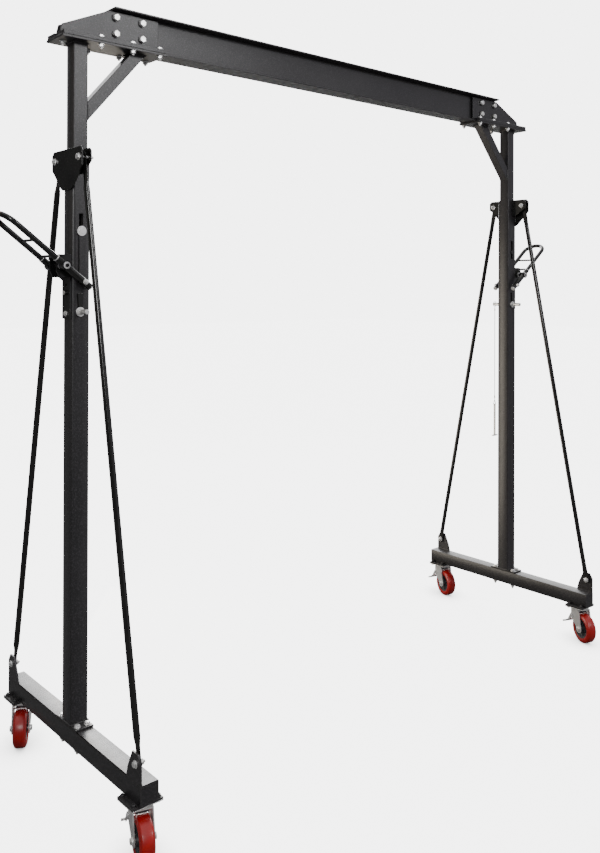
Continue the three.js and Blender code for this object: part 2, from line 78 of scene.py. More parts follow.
# ---- Shader helpers -----------------------------------------------------------------------------
class NodeSheet:
    """A small builder for one node tree."""

    def __init__(self, tree: bpy.types.NodeTree) -> None:
        """Keep the tree that nodes are added to.

        Args:
            tree: A material's or a group's node tree.
        """
        self.tree = tree

    def add(self, kind: str, **values: object) -> bpy.types.Node:
        """Add a node and set its inputs or properties by name.

        Args:
            kind: The node's type name.
            **values: Input socket names (underscores for spaces) or node properties.

        Returns:
            The new node.
        """
        made = self.tree.nodes.new(kind)
        for key, value in values.items():
            if hasattr(made, key):
                setattr(made, key, value)
            else:
                made.inputs[key.replace("_", " ")].default_value = value
        return made

    def link(self, source: bpy.types.NodeSocket, target: bpy.types.NodeSocket) -> None:
        """Join an output to an input."""
        self.tree.links.new(source, target)

    def math(self, operation: str, a: object, b: object = 0.0) -> bpy.types.NodeSocket:
        """Add a Math node.

        Args:
            operation: The Math node's operation.
            a: A socket or a number.
            b: A socket or a number.

        Returns:
            The node's output.
        """
        made = self.tree.nodes.new("ShaderNodeMath")
        made.operation = operation
        for socket, value in zip(made.inputs, (a, b)):
            if isinstance(value, bpy.types.NodeSocket):
                self.link(value, socket)
            else:
                socket.default_value = value
        return made.outputs[0]

    def mix(self, factor: object, a: object, b: object) -> bpy.types.NodeSocket:
        """Mix two colours.

        Args:
            factor: A socket or a number.
            a: A socket or an RGBA colour.
            b: A socket or an RGBA colour.

        Returns:
            The mixed colour.
        """
        made = self.tree.nodes.new("ShaderNodeMix")
        made.data_type = "RGBA"
        for socket, value in ((made.inputs[0], factor), (made.inputs[6], a), (made.inputs[7], b)):
            if isinstance(value, bpy.types.NodeSocket):
                self.link(value, socket)
            else:
                socket.default_value = value
        return made.outputs[2]

    def noise(self, vector: bpy.types.NodeSocket, scale: object, detail: float) -> bpy.types.NodeSocket:
        """Add a noise texture and return its value."""
        made = self.tree.nodes.new("ShaderNodeTexNoise")
        made.inputs["Detail"].default_value = detail
        if isinstance(scale, bpy.types.NodeSocket):
            self.link(scale, made.inputs["Scale"])
        else:
            made.inputs["Scale"].default_value = scale
        self.link(vector, made.inputs["Vector"])
        return made.outputs[0]

    def spread(self, value: bpy.types.NodeSocket, low: float, high: float) -> bpy.types.NodeSocket:
        """Stretch the part of a value between low and high over 0 to 1."""
        made = self.add("ShaderNodeMapRange", From_Min=low, From_Max=high)
        self.link(value, made.inputs["Value"])
        return made.outputs["Result"]


def shader_group(name: str, inputs: dict[str, float], outputs: list[str]) -> tuple:
    """Start a shader node group with float inputs.

    Args:
        name: The group's name.
        inputs: Input names and their defaults.
        outputs: Output names, all floats.

    Returns:
        The tree, a sheet to build it on, the input node and the output node.
    """
    tree = bpy.data.node_groups.new(name, "ShaderNodeTree")
    for key, value in inputs.items():
        socket = tree.interface.new_socket(name=key, in_out="INPUT", socket_type="NodeSocketFloat")
        socket.default_value = value
    for key in outputs:
        tree.interface.new_socket(name=key, in_out="OUTPUT", socket_type="NodeSocketFloat")
    sheet = NodeSheet(tree)
    return tree, sheet, sheet.add("NodeGroupInput"), sheet.add("NodeGroupOutput")


def edge_wear_group() -> bpy.types.NodeTree:
    """Build the group that finds rubbed corners.

    Returns:
        The group: Breakup, Reach and Amount in, Mask out.
    """
    tree, sheet, given, out = shader_group(
        "edge_wear", {"Breakup": 60.0, "Reach": 0.5, "Amount": 1.0}, ["Mask"]
    )
    bevel = sheet.add("ShaderNodeBevel", samples=4, Radius=0.0022)
    true = sheet.add("ShaderNodeNewGeometry")
    dot = sheet.add("ShaderNodeVectorMath", operation="DOT_PRODUCT")
    sheet.link(bevel.outputs[0], dot.inputs[0])
    sheet.link(true.outputs["Normal"], dot.inputs[1])
    bend = sheet.math("SUBTRACT", 1.0, dot.outputs["Value"])
    coords = sheet.add("ShaderNodeTexCoord")
    patch = sheet.noise(coords.outputs["Object"], given.outputs["Breakup"], 4.0)
    limit = sheet.math("MULTIPLY", patch, given.outputs["Reach"])
    rubbed = sheet.math("SUBTRACT", bend, limit)
    strong = sheet.math("MULTIPLY", rubbed, 6.0)
    clean = sheet.math("MINIMUM", sheet.math("MAXIMUM", strong, 0.0), 1.0)
    sheet.link(sheet.math("MULTIPLY", clean, given.outputs["Amount"]), out.inputs["Mask"])
    return tree


def grain_group() -> bpy.types.NodeTree:
    """Build the group for fine surface grain with a slow drift over it.

    Returns:
        The group: Fine, Broad and Balance in, Height and Drift out.
    """
    tree, sheet, given, out = shader_group(
        "grain", {"Fine": 420.0, "Broad": 7.0, "Balance": 0.7}, ["Height", "Drift"]
    )
    coords = sheet.add("ShaderNodeTexCoord").outputs["Object"]
    fine = sheet.noise(coords, given.outputs["Fine"], 2.0)
    cells = sheet.add("ShaderNodeTexVoronoi", feature="SMOOTH_F1")
    sheet.link(coords, cells.inputs["Vector"])
    sheet.link(given.outputs["Fine"], cells.inputs["Scale"])
    part = sheet.math("MULTIPLY", fine, given.outputs["Balance"])
    other = sheet.math("SUBTRACT", 1.0, given.outputs["Balance"])
    rest = sheet.math("MULTIPLY", cells.outputs["Distance"], other)
    sheet.link(sheet.math("ADD", part, rest), out.inputs["Height"])
    sheet.link(sheet.noise(coords, given.outputs["Broad"], 5.0), out.inputs["Drift"])
    return tree


def dust_group() -> bpy.types.NodeTree:
    """Build the group for dust that settles on faces that look up.

    Returns:
        The group: Scale and Amount in, Mask out.
    """
    tree, sheet, given, out = shader_group("dust", {"Scale": 22.0, "Amount": 0.3}, ["Mask"])
    normal = sheet.add("ShaderNodeNewGeometry").outputs["Normal"]
    split = sheet.add("ShaderNodeSeparateXYZ")
    sheet.link(normal, split.inputs[0])
    up = sheet.math("MAXIMUM", split.outputs["Z"], 0.0)
    coords = sheet.add("ShaderNodeTexCoord").outputs["Object"]
    patch = sheet.spread(sheet.noise(coords, given.outputs["Scale"], 6.0), 0.35, 0.75)
    laid = sheet.math("MULTIPLY", sheet.math("POWER", up, 2.0), patch)
    sheet.link(sheet.math("MULTIPLY", laid, given.outputs["Amount"]), out.inputs["Mask"])
    return tree


@dataclass
class SharedEffects:
    """The node groups that several finishes use."""

    wear: bpy.types.NodeTree = field(default_factory=edge_wear_group)
    grain: bpy.types.NodeTree = field(default_factory=grain_group)
    dust: bpy.types.NodeTree = field(default_factory=dust_group)


def start_material(name: str) -> tuple[bpy.types.Material, NodeSheet, bpy.types.Node]:
    """Make an empty material with a Principled surface.

    Args:
        name: The material's name.

    Returns:
        The material, its sheet and the Principled node.
    """
    material = bpy.data.materials.new(name)
    material.use_nodes = True
    material.node_tree.nodes.clear()
    sheet = NodeSheet(material.node_tree)
    surface = sheet.add("ShaderNodeBsdfPrincipled")
    sheet.link(surface.outputs[0], sheet.add("ShaderNodeOutputMaterial").inputs["Surface"])
    return material, sheet, surface


def use_group(sheet: NodeSheet, tree: bpy.types.NodeTree, **values: float) -> bpy.types.Node:
    """Place a shared group in a material with its own values."""
    placed = sheet.tree.nodes.new("ShaderNodeGroup")
    placed.node_tree = tree
    for key, value in values.items():
        placed.inputs[key].default_value = value
    return placed


@dataclass(frozen=True)
class PowderCoat:
    """Black hammered coat: small lens-shaped dimples, a faint violet cast and rubbed corners."""

    name: str = "black_hammered_coat"
    base: tuple = (0.009, 0.0085, 0.0092, 1.0)
    drift: tuple = (0.016, 0.015, 0.0162, 1.0)
    # lighter colour for the grain's high points: a painted highlight for the coat's sparkle
    painted_glint: tuple = (0.048, 0.044, 0.049, 1.0)
    rubbed: tuple = (0.13, 0.125, 0.12, 1.0)
    dusty: tuple = (0.13, 0.12, 0.105, 1.0)
    roughness: tuple = (0.30, 0.44)
    grain: float = 300.0
    bump: float = 0.00016

    def build(self, effects: SharedEffects) -> bpy.types.Material:
        """Build the material.

        Args:
            effects: The shared node groups.

        Returns:
            The finished material.
        """
        material, sheet, surface = start_material(self.name)
        grain = use_group(sheet, effects.grain, Fine=self.grain, Broad=3.5, Balance=0.45)
        wear = use_group(sheet, effects.wear, Breakup=85.0, Reach=0.34, Amount=0.5)
        dust = use_group(sheet, effects.dust, Scale=26.0, Amount=0.16)
        tone = sheet.mix(sheet.spread(grain.outputs["Drift"], 0.3, 0.7), self.base, self.drift)
        # the raised grain turns towards the lighter glint colour: a painted highlight, the sparkle of the
        # hammered coat
        speck = sheet.mix(sheet.spread(grain.outputs["Height"], 0.44, 0.72), tone, self.painted_glint)
        laid = sheet.mix(dust.outputs["Mask"], speck, self.dusty)
        sheet.link(sheet.mix(wear.outputs["Mask"], laid, self.rubbed), surface.inputs["Base Color"])
        low, high = self.roughness
        rough = sheet.math("ADD", low, sheet.math("MULTIPLY", grain.outputs["Drift"], high - low))
        chalk = sheet.math("MULTIPLY", dust.outputs["Mask"], 0.5)
        sheet.link(sheet.math("ADD", rough, chalk), surface.inputs["Roughness"])
        bump = sheet.add("ShaderNodeBump", Strength=1.0, Distance=self.bump)
        sheet.link(grain.outputs["Height"], bump.inputs["Height"])
        sheet.link(bump.outputs[0], surface.inputs["Normal"])
        surface.inputs["Specular IOR Level"].default_value = 0.55
        return material


@dataclass(frozen=True)
class Enamel:
    """Smooth black enamel on the bars, the lever and the small plates."""

    name: str = "black_enamel"
    base: tuple = (0.006, 0.006, 0.006, 1.0)
    drift: tuple = (0.012, 0.012, 0.011, 1.0)
    rubbed: tuple = (0.05, 0.049, 0.048, 1.0)

    def build(self, effects: SharedEffects) -> bpy.types.Material:
        """Build the material.

        Args:
            effects: The shared node groups.

        Returns:
            The finished material.
        """
        material, sheet, surface = start_material(self.name)
        grain = use_group(sheet, effects.grain, Fine=380.0, Broad=12.0, Balance=0.7)
        wear = use_group(sheet, effects.wear, Breakup=120.0, Reach=0.5, Amount=0.25)
        tone = sheet.mix(sheet.spread(grain.outputs["Drift"], 0.3, 0.7), self.base, self.drift)
        sheet.link(sheet.mix(wear.outputs["Mask"], tone, self.rubbed), surface.inputs["Base Color"])
        rough = sheet.math("ADD", 0.13, sheet.math("MULTIPLY", grain.outputs["Drift"], 0.12))
        sheet.link(rough, surface.inputs["Roughness"])
        bump = sheet.add("ShaderNodeBump", Strength=0.3, Distance=0.00004)
        sheet.link(grain.outputs["Height"], bump.inputs["Height"])
        sheet.link(bump.outputs[0], surface.inputs["Normal"])
        return material


@dataclass(frozen=True)
class ZincPlate:
    """Bright zinc plate on small steel parts, with faint passivation colour."""

    name: str = "zinc_plate"
    base: tuple = (0.84, 0.845, 0.85, 1.0)
    tinted: tuple = (0.74, 0.73, 0.70, 1.0)
    grime: tuple = (0.24, 0.22, 0.20, 1.0)
    roughness: tuple = (0.24, 0.42)
    grain: float = 260.0

    def build(self, effects: SharedEffects) -> bpy.types.Material:
        """Build the material.

        Args:
            effects: The shared node groups.

        Returns:
            The finished material.
        """
        material, sheet, surface = start_material(self.name)
        grain = use_group(sheet, effects.grain, Fine=self.grain, Broad=40.0, Balance=0.35)
        dust = use_group(sheet, effects.dust, Scale=70.0, Amount=0.35)
        tone = sheet.mix(sheet.spread(grain.outputs["Drift"], 0.35, 0.7), self.base, self.tinted)
        sheet.link(sheet.mix(dust.outputs["Mask"], tone, self.grime), surface.inputs["Base Color"])
        low, high = self.roughness
        rough = sheet.math("ADD", low, sheet.math("MULTIPLY", grain.outputs["Drift"], high - low))
        chalk = sheet.math("MULTIPLY", dust.outputs["Mask"], 0.4)
        sheet.link(sheet.math("ADD", rough, chalk), surface.inputs["Roughness"])
        hidden = sheet.math("MULTIPLY", dust.outputs["Mask"], 0.5)
        sheet.link(sheet.math("SUBTRACT", 0.70, hidden), surface.inputs["Metallic"])
        bump = sheet.add("ShaderNodeBump", Strength=0.35, Distance=0.00008)
        sheet.link(grain.outputs["Height"], bump.inputs["Height"])
        sheet.link(bump.outputs[0], surface.inputs["Normal"])
        return material


@dataclass(frozen=True)
class Polyurethane:
    """Red cast polyurethane tread with a moulded skin, scuffed where it rolls."""

    name: str = "red_polyurethane"
    base: tuple = (0.38, 0.005, 0.004, 1.0)
    deep: tuple = (0.26, 0.003, 0.003, 1.0)
    scuff: tuple = (0.36, 0.05, 0.04, 1.0)

    def build(self, effects: SharedEffects) -> bpy.types.Material:
        """Build the material.

        Args:
            effects: The shared node groups.

        Returns:
            The finished material.
        """
        material, sheet, surface = start_material(self.name)
        grain = use_group(sheet, effects.grain, Fine=700.0, Broad=30.0, Balance=0.8)
        wear = use_group(sheet, effects.wear, Breakup=160.0, Reach=0.22, Amount=0.35)
        tone = sheet.mix(sheet.spread(grain.outputs["Drift"], 0.3, 0.75), self.base, self.deep)
        sheet.link(sheet.mix(wear.outputs["Mask"], tone, self.scuff), surface.inputs["Base Color"])
        uneven = sheet.math("MULTIPLY", grain.outputs["Drift"], 0.2)
        sheet.link(sheet.math("ADD", 0.26, uneven), surface.inputs["Roughness"])
        bump = sheet.add("ShaderNodeBump", Strength=0.4, Distance=0.0001)
        sheet.link(grain.outputs["Height"], bump.inputs["Height"])
        sheet.link(bump.outputs[0], surface.inputs["Normal"])
        surface.inputs["Coat Weight"].default_value = 0.12
        surface.inputs["Coat Roughness"].default_value = 0.22
        return material


@dataclass(frozen=True)
class HubIron:
    """Dark painted wheel core."""

    name: str = "hub_iron"
    base: tuple = (0.035, 0.035, 0.038, 1.0)
    chipped: tuple = (0.30, 0.30, 0.31, 1.0)

    def build(self, effects: SharedEffects) -> bpy.types.Material:
        """Build the material.

        Args:
            effects: The shared node groups.

        Returns:
            The finished material.
        """
        material, sheet, surface = start_material(self.name)
        grain = use_group(sheet, effects.grain, Fine=330.0, Broad=25.0, Balance=0.5)
        wear = use_group(sheet, effects.wear, Breakup=120.0, Reach=0.25, Amount=0.7)
        sheet.link(sheet.mix(wear.outputs["Mask"], self.base, self.chipped), surface.inputs["Base Color"])
        uneven = sheet.math("MULTIPLY", grain.outputs["Drift"], 0.25)
        sheet.link(sheet.math("ADD", 0.34, uneven), surface.inputs["Roughness"])
        bump = sheet.add("ShaderNodeBump", Strength=0.6, Distance=0.0002)
        sheet.link(grain.outputs["Height"], bump.inputs["Height"])
        sheet.link(bump.outputs[0], surface.inputs["Normal"])
        return material


@dataclass(frozen=True)
class WireRope:
    """Stranded steel wire with the lay turning round it."""

    name: str = "wire_rope"
    # light and dark: painted highlight on the strand crowns and painted shade in the grooves; dark is also
    # the tone of the duller patches
    light: tuple = (0.22, 0.22, 0.225, 1.0)
    dark: tuple = (0.03, 0.03, 0.032, 1.0)
    turns: float = 900.0

    def build(self, effects: SharedEffects) -> bpy.types.Material:
        """Build the material.

        Args:
            effects: The shared node groups.

        Returns:
            The finished material.
        """
        material, sheet, surface = start_material(self.name)
        coords = sheet.add("ShaderNodeTexCoord").outputs["UV"]
        split = sheet.add("ShaderNodeSeparateXYZ")
        sheet.link(coords, split.inputs[0])
        around = sheet.math("MULTIPLY", split.outputs["X"], 6.0 * math.tau)
        along = sheet.math("MULTIPLY", split.outputs["Y"], self.turns)
        wave = sheet.math("SINE", sheet.math("ADD", around, along))
        strand = sheet.math("ADD", sheet.math("MULTIPLY", wave, 0.5), 0.5)
        grain = use_group(sheet, effects.grain, Fine=900.0, Broad=60.0, Balance=0.8)
        # the lay wave paints shade into the grooves between strands and a highlight on their crowns
        tone = sheet.mix(strand, self.dark, self.light)
        dull = sheet.math("MULTIPLY", grain.outputs["Drift"], 0.2)
        sheet.link(sheet.mix(dull, tone, self.dark), surface.inputs["Base Color"])
        uneven = sheet.math("MULTIPLY", grain.outputs["Drift"], 0.2)
        sheet.link(sheet.math("ADD", 0.3, uneven), surface.inputs["Roughness"])
        surface.inputs["Metallic"].default_value = 0.85
        bump = sheet.add("ShaderNodeBump", Strength=0.8, Distance=0.0003)
        sheet.link(strand, bump.inputs["Height"])
        sheet.link(bump.outputs[0], surface.inputs["Normal"])
        return material


@dataclass
class Finishes:
    """Every finish of the crane, built once."""

    effects: SharedEffects = field(default_factory=SharedEffects)
    coat: bpy.types.Material = field(init=False)
    enamel: bpy.types.Material = field(init=False)
    zinc: bpy.types.Material = field(init=False)
    tread: bpy.types.Material = field(init=False)
    hub: bpy.types.Material = field(init=False)
    wire: bpy.types.Material = field(init=False)

    def __post_init__(self) -> None:
        """Build each material."""
        self.coat = PowderCoat().build(self.effects)
        self.enamel = Enamel().build(self.effects)
        self.zinc = ZincPlate().build(self.effects)
        self.tread = Polyurethane().build(self.effects)
        self.hub = HubIron().build(self.effects)
        self.wire = WireRope().build(self.effects)

    def of(self, finish: Finish) -> bpy.types.Material:
        """The material of a finish."""
        return getattr(self, finish.value)


# ---- Mesh helpers, all in metres ------------------------------------------------------------------
def add_box(bm: bmesh.types.BMesh, low: Point, high: Point, edge: float = 0.0) -> list:
    """Add a block between two corners.

    Args:
        bm: The mesh to add to.
        low: Lowest corner.
        high: Highest corner.
        edge: Bevel width, or 0 for sharp edges.

    Returns:
        The block's vertices.
    """
    a, b = Vector(low), Vector(high)
    size = b - a
    matrix = Matrix.Translation((a + b) / 2) @ Matrix.Diagonal((*size, 1.0))
    made = bmesh.ops.create_cube(bm, size=1.0, matrix=matrix)["verts"]
    if edge > 0:
        edges = list({e for v in made for e in v.link_edges})
        made = bevel_edges(bm, edges, edge, 2)
    return made


def bevel_edges(bm: bmesh.types.BMesh, edges: list, width: float, segments: int) -> list:
    """Bevel edges and return the vertices made."""
    done = bmesh.ops.bevel(
        bm, geom=edges, offset=width, segments=segments, profile=0.5, affect="EDGES", material=-1
    )
    return done["verts"]


def add_rod(
    bm: bmesh.types.BMesh, start: Point, end: Point, radius: float, sides: int = 24, tip: float | None = None
) -> list:
    """Add a closed round bar between two points.

    Args:
        bm: The mesh to add to.
        start: One end's centre.
        end: The other end's centre.
        radius: Radius at the start.
        sides: Number of sides.
        tip: Radius at the end, the same where None.

    Returns:
        The bar's vertices.
    """
    a, b = Vector(start), Vector(end)
    along = b - a
    turn = along.to_track_quat("Z", "Y").to_matrix().to_4x4()
    matrix = Matrix.Translation((a + b) / 2) @ turn
    return bmesh.ops.create_cone(
        bm,
        cap_ends=True,
        segments=sides,
        radius1=radius,
        radius2=radius if tip is None else tip,
        depth=along.length,
        matrix=matrix,
    )["verts"]


def add_prism(bm: bmesh.types.BMesh, outline: Outline, plane: Plane, start: float, end: float) -> list:
    """Extrude a drawn outline.

    Args:
        bm: The mesh to add to.
        outline: Corners in the plane's two axes.
        plane: The plane the outline lies in.
        start: Where the prism starts along the third axis.
        end: Where it ends.

    Returns:
        The prism's vertices.
    """
    place = {
        Plane.XY: lambda u, v, w: (u, v, w),
        Plane.XZ: lambda u, v, w: (u, w, v),
        Plane.YZ: lambda u, v, w: (w, u, v),
    }[plane]
    verts = [bm.verts.new(place(u, v, start)) for u, v in outline]
    face = bm.faces.new(verts)
    grown = bmesh.ops.extrude_face_region(bm, geom=[face])["geom"]
    moved = [g for g in grown if isinstance(g, bmesh.types.BMVert)]
    step = Vector(place(0.0, 0.0, end)) - Vector(place(0.0, 0.0, start))
    bmesh.ops.translate(bm, verts=moved, vec=step)
    return verts + moved


def add_spin(bm: bmesh.types.BMesh, profile: Outline, centre: Point, steps: int) -> list:
    """Turn a closed profile of (radius, x) points about an axis along X.

    Args:
        bm: The mesh to add to.
        profile: Closed outline as (radius, x) points.
        centre: A point on the axis.
        steps: Steps round the turn.

    Returns:
        The ring's vertices.
    """
    c = Vector(centre)
    before = set(bm.verts)
    verts = [bm.verts.new(c + Vector((x, r, 0.0))) for r, x in profile]
    edges = [bm.edges.new((verts[i], verts[(i + 1) % len(verts)])) for i in range(len(verts))]
    bmesh.ops.spin(
        bm, geom=verts + edges, cent=c, axis=(1, 0, 0), angle=math.tau, steps=steps, use_merge=True
    )
    return [v for v in bm.verts if v not in before]


def add_sweep(
    bm: bmesh.types.BMesh, points: list[Point], radius: float, sides: int = 20, flats: list | None = None
) -> list:
    """Run a round section along a line of points.

    Args:
        bm: The mesh to add to.
        points: The centreline.
        radius: The section's radius.
        sides: Sides of the section.
        flats: Optional (across, thick) scale of the section at each point, across measured along Y.

    Returns:
        The tube's vertices.
    """
    line = [Vector(p) for p in points]
    rings: list[list] = []
    made: list = []
    normal: Vector | None = None
    for i, here in enumerate(line):
        ahead = line[min(i + 1, len(line) - 1)] - here
        behind = here - line[max(i - 1, 0)]
        along = (ahead.normalized() + behind.normalized()).normalized()
        if normal is None:
            normal = Vector((1, 0, 0)) if abs(along.x) < 0.9 else Vector((0, 0, 1))
        normal = (normal - along * normal.dot(along)).normalized()
        side = along.cross(normal)
        wide, thick = flats[i] if flats else (1.0, 1.0)
        ring = bmesh.ops.create_circle(bm, cap_ends=False, segments=sides, radius=1.0)["verts"]
        for v in ring:
            v.co = here + side * (v.co.x * radius * wide) + normal * (v.co.y * radius * thick)
        rings.append(list({e for v in ring for e in v.link_edges}))
        made += ring
        if i in (0, len(line) - 1):
            bm.faces.new(ring)
    for a, b in zip(rings, rings[1:]):
        bmesh.ops.bridge_loops(bm, edges=a + b)
    return made


def add_hex(bm: bmesh.types.BMesh, at: Point, way: Point, across: float, height: float) -> list:
    """Add a hexagon head or nut with a chamfered top.

    Args:
        bm: The mesh to add to.
        at: Centre of the face it sits on.
        way: Unit direction away from that face.
        across: Width across flats.
        height: Height of the head.

    Returns:
        The head's vertices.
    """
    a, w = Vector(at), Vector(way)
    r = across / math.sqrt(3)
    made = add_rod(bm, a, a + w * height * 0.82, r, 6)
    made += add_rod(bm, a + w * height * 0.82, a + w * height, r, 6, tip=r * 0.84)
    return made


def add_washer(bm: bmesh.types.BMesh, at: Point, way: Point, radius: float, thick: float) -> list:
    """Add a flat washer that sits on a face."""
    a, w = Vector(at), Vector(way)
    return add_rod(bm, a, a + w * thick, radius, 28)


def add_bolt_head(bm: bmesh.types.BMesh, at: Point, way: Point, size: float, washer: float = 1.15) -> None:
    """Add a washer and a hexagon head of a bolt of that thread size.

    Args:
        bm: The mesh to add to.
        at: Centre on the face.
        way: Unit direction away from the face.
        size: Thread diameter.
        washer: Washer radius in thread diameters.
    """
    a, w = Vector(at), Vector(way)
    add_washer(bm, a, w, size * washer, size * 0.16)
    add_hex(bm, a + w * size * 0.16, w, size * 1.55, size * 0.62)


def add_nut_end(bm: bmesh.types.BMesh, at: Point, way: Point, size: float, tail: float = 0.5) -> None:
    """Add a washer, a nut and the end of the bolt's thread.

    Args:
        bm: The mesh to add to.
        at: Centre on the face.
        way: Unit direction away from the face.
        size: Thread diameter.
        tail: Length of thread past the nut, in thread diameters.
    """
    a, w = Vector(at), Vector(way)
    add_washer(bm, a, w, size * 1.1, size * 0.16)
    top = a + w * size * 0.16
    add_hex(bm, top, w, size * 1.55, size * 0.8)
    start = top + w * size * 0.8
    add_rod(bm, start, start + w * size * tail, size * 0.48, 16, tip=size * 0.4)


def add_weld(bm: bmesh.types.BMesh, start: Point, end: Point, radius: float) -> None:
    """Lay a rippled weld bead between two points.

    Args:
        bm: The mesh to add to.
        start: One end.
        end: The other end.
        radius: The bead's radius.
    """
    a, b = Vector(start), Vector(end)
    count = max(4, int((b - a).length / (radius * 1.3)))
    points = [a.lerp(b, i / count) for i in range(count + 1)]
    swell = [1.0 + 0.16 * math.sin(i * 2.4) + 0.1 * noise.noise(p * 90.0) for i, p in enumerate(points)]
    add_sweep(bm, points, radius, 8, [(s, s) for s in swell])


def cad_copy(name: str) -> bmesh.types.BMesh:
    """Copy a CAD node's mesh and clean its loose triangles.

    Args:
        name: The CAD node.

    Returns:
        The cleaned mesh.
    """
    bm = bmesh.new()
    bm.from_mesh(frame["nodes"][name].data)
    bmesh.ops.remove_doubles(bm, verts=bm.verts, dist=2e-5)
    bmesh.ops.dissolve_limit(
        bm, angle_limit=math.radians(0.6), verts=bm.verts, edges=bm.edges, use_dissolve_boundaries=False
    )
    return bm


@dataclass
class Workshop:
    """Turns finished meshes into pieces that ride on the right body."""

    finishes: Finishes
    made: list[str] = field(default_factory=list)

    def piece(
        self,
        bm: bmesh.types.BMesh,
        name: str,
        body: str,
        finish: Finish,
        replaces: tuple[str, ...] = (),
        smooth: float = 35.0,
        bevel: float = 0.0,
        keep_normals: bool = False,
    ) -> bpy.types.Object:
        """Make an object from a mesh, finish it and hang it on its body.

        Args:
            bm: The mesh, which is freed.
            name: The piece's name.
            body: The CAD body it rides on.
            finish: What it is finished in.
            replaces: CAD nodes it stands for.
            smooth: Edges sharper than this angle in degrees stay hard.
            bevel: Width of a live bevel on the hard edges, or 0.
            keep_normals: True where the faces already point outwards.

        Returns:
            The new object.
        """
        bmesh.ops.remove_doubles(bm, verts=bm.verts, dist=1e-6)
        if not keep_normals:
            bmesh.ops.recalc_face_normals(bm, faces=bm.faces)
        mesh = bpy.data.meshes.new(name)
        bm.to_mesh(mesh)
        bm.free()
        mesh.shade_smooth()
        mesh.set_sharp_from_angle(angle=math.radians(smooth))
        obj = bpy.data.objects.new(name, mesh)
        bpy.context.scene.collection.objects.link(obj)
        mesh.materials.append(self.finishes.of(finish))
        if bevel > 0:
            worn = obj.modifiers.new("edges", "BEVEL")
            worn.width = bevel
            worn.segments = 2
            worn.limit_method = "ANGLE"
            worn.angle_limit = math.radians(40)
            worn.harden_normals = True
            worn.use_clamp_overlap = True
        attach(obj, body)
        if replaces:
            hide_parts(*replaces)
        self.made.append(name)
        return obj

    def dress(
        self, node: str, body: str, finish: Finish, bevel: float = 0.0008, name: str | None = None
    ) -> None:
        """Stand a clean, softly edged copy in for a CAD node.

        Args:
            node: The CAD node.
            body: The body it rides on.
            finish: Its finish.
            bevel: Width of the softened edges.
            name: The piece's name, the node's with a suffix where None.
        """
        self.piece(cad_copy(node), name or f"{node}_shell", body, finish, (node,), 32.0, bevel, True)


# ---- Legs ---------------------------------------------------------------------------------------
class Side(Enum):
    """Which end of the beam a leg carries."""

    LEFT = "left"
    RIGHT = "right"


@dataclass(frozen=True)
class LegFrame:
    """One leg's own axes: post axis at the origin, jack side towards -X, right leg turned half round."""

    side: Side

    @property
    def key(self) -> str:
        """The prefix of this leg's CAD names."""
        return self.side.value

    @property
    def matrix(self) -> Matrix:
        """From the leg's own axes to the crane's."""
        low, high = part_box(f"{self.key}_inner_post")
        middle = (low + high) / 2
        turn = math.pi if self.side is Side.RIGHT else 0.0
        return Matrix.Translation((middle.x, middle.y, 0.0)) @ Matrix.Rotation(turn, 4, "Z")

    def place(self, bm: bmesh.types.BMesh) -> bmesh.types.BMesh:
        """Move a mesh from the leg's axes to the crane's."""
        bmesh.ops.transform(bm, matrix=self.matrix, verts=bm.verts)
        return bm


@dataclass
class BeamSection:
    """The I-beam with its rolled fillets."""

    shop: Workshop
    height: float = 0.127
    half: float = 0.038
    web: float = 0.0027
    flange: float = 0.0083
    toe: float = 0.0059
    fillet: float = 0.007

    def outline(self) -> Outline:
        """The section in Y and Z about its middle."""
        top = self.height / 2
        inner = top - self.flange
        arc = [
            (
                self.web + self.fillet * (1 - math.cos(t * math.pi / 10)),
                inner - self.fillet * (1 - math.sin(t * math.pi / 10)),
            )
            for t in range(5, -1, -1)
        ]
        quarter = [(self.half - 0.0008, top), (self.half, top - 0.0008)]
        quarter += [(self.half, top - self.toe + 0.0015), (self.half - 0.002, top - self.toe), *arc]
        right = quarter + [(y, -z) for y, z in reversed(quarter)]
        return right + [(-y, z) for y, z in reversed(right)]

    def build(self) -> None:
        """Build the beam in place of its CAD node."""
        low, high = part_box("beam")
        bm = bmesh.new()
        verts = add_prism(bm, self.outline(), Plane.YZ, low.x, high.x)
        middle = (low + high) / 2
        bmesh.ops.translate(bm, verts=verts, vec=(0.0, middle.y, middle.z))
        self.shop.piece(bm, "beam_section", "upper_frame", Finish.COAT, ("beam",), 28.0)


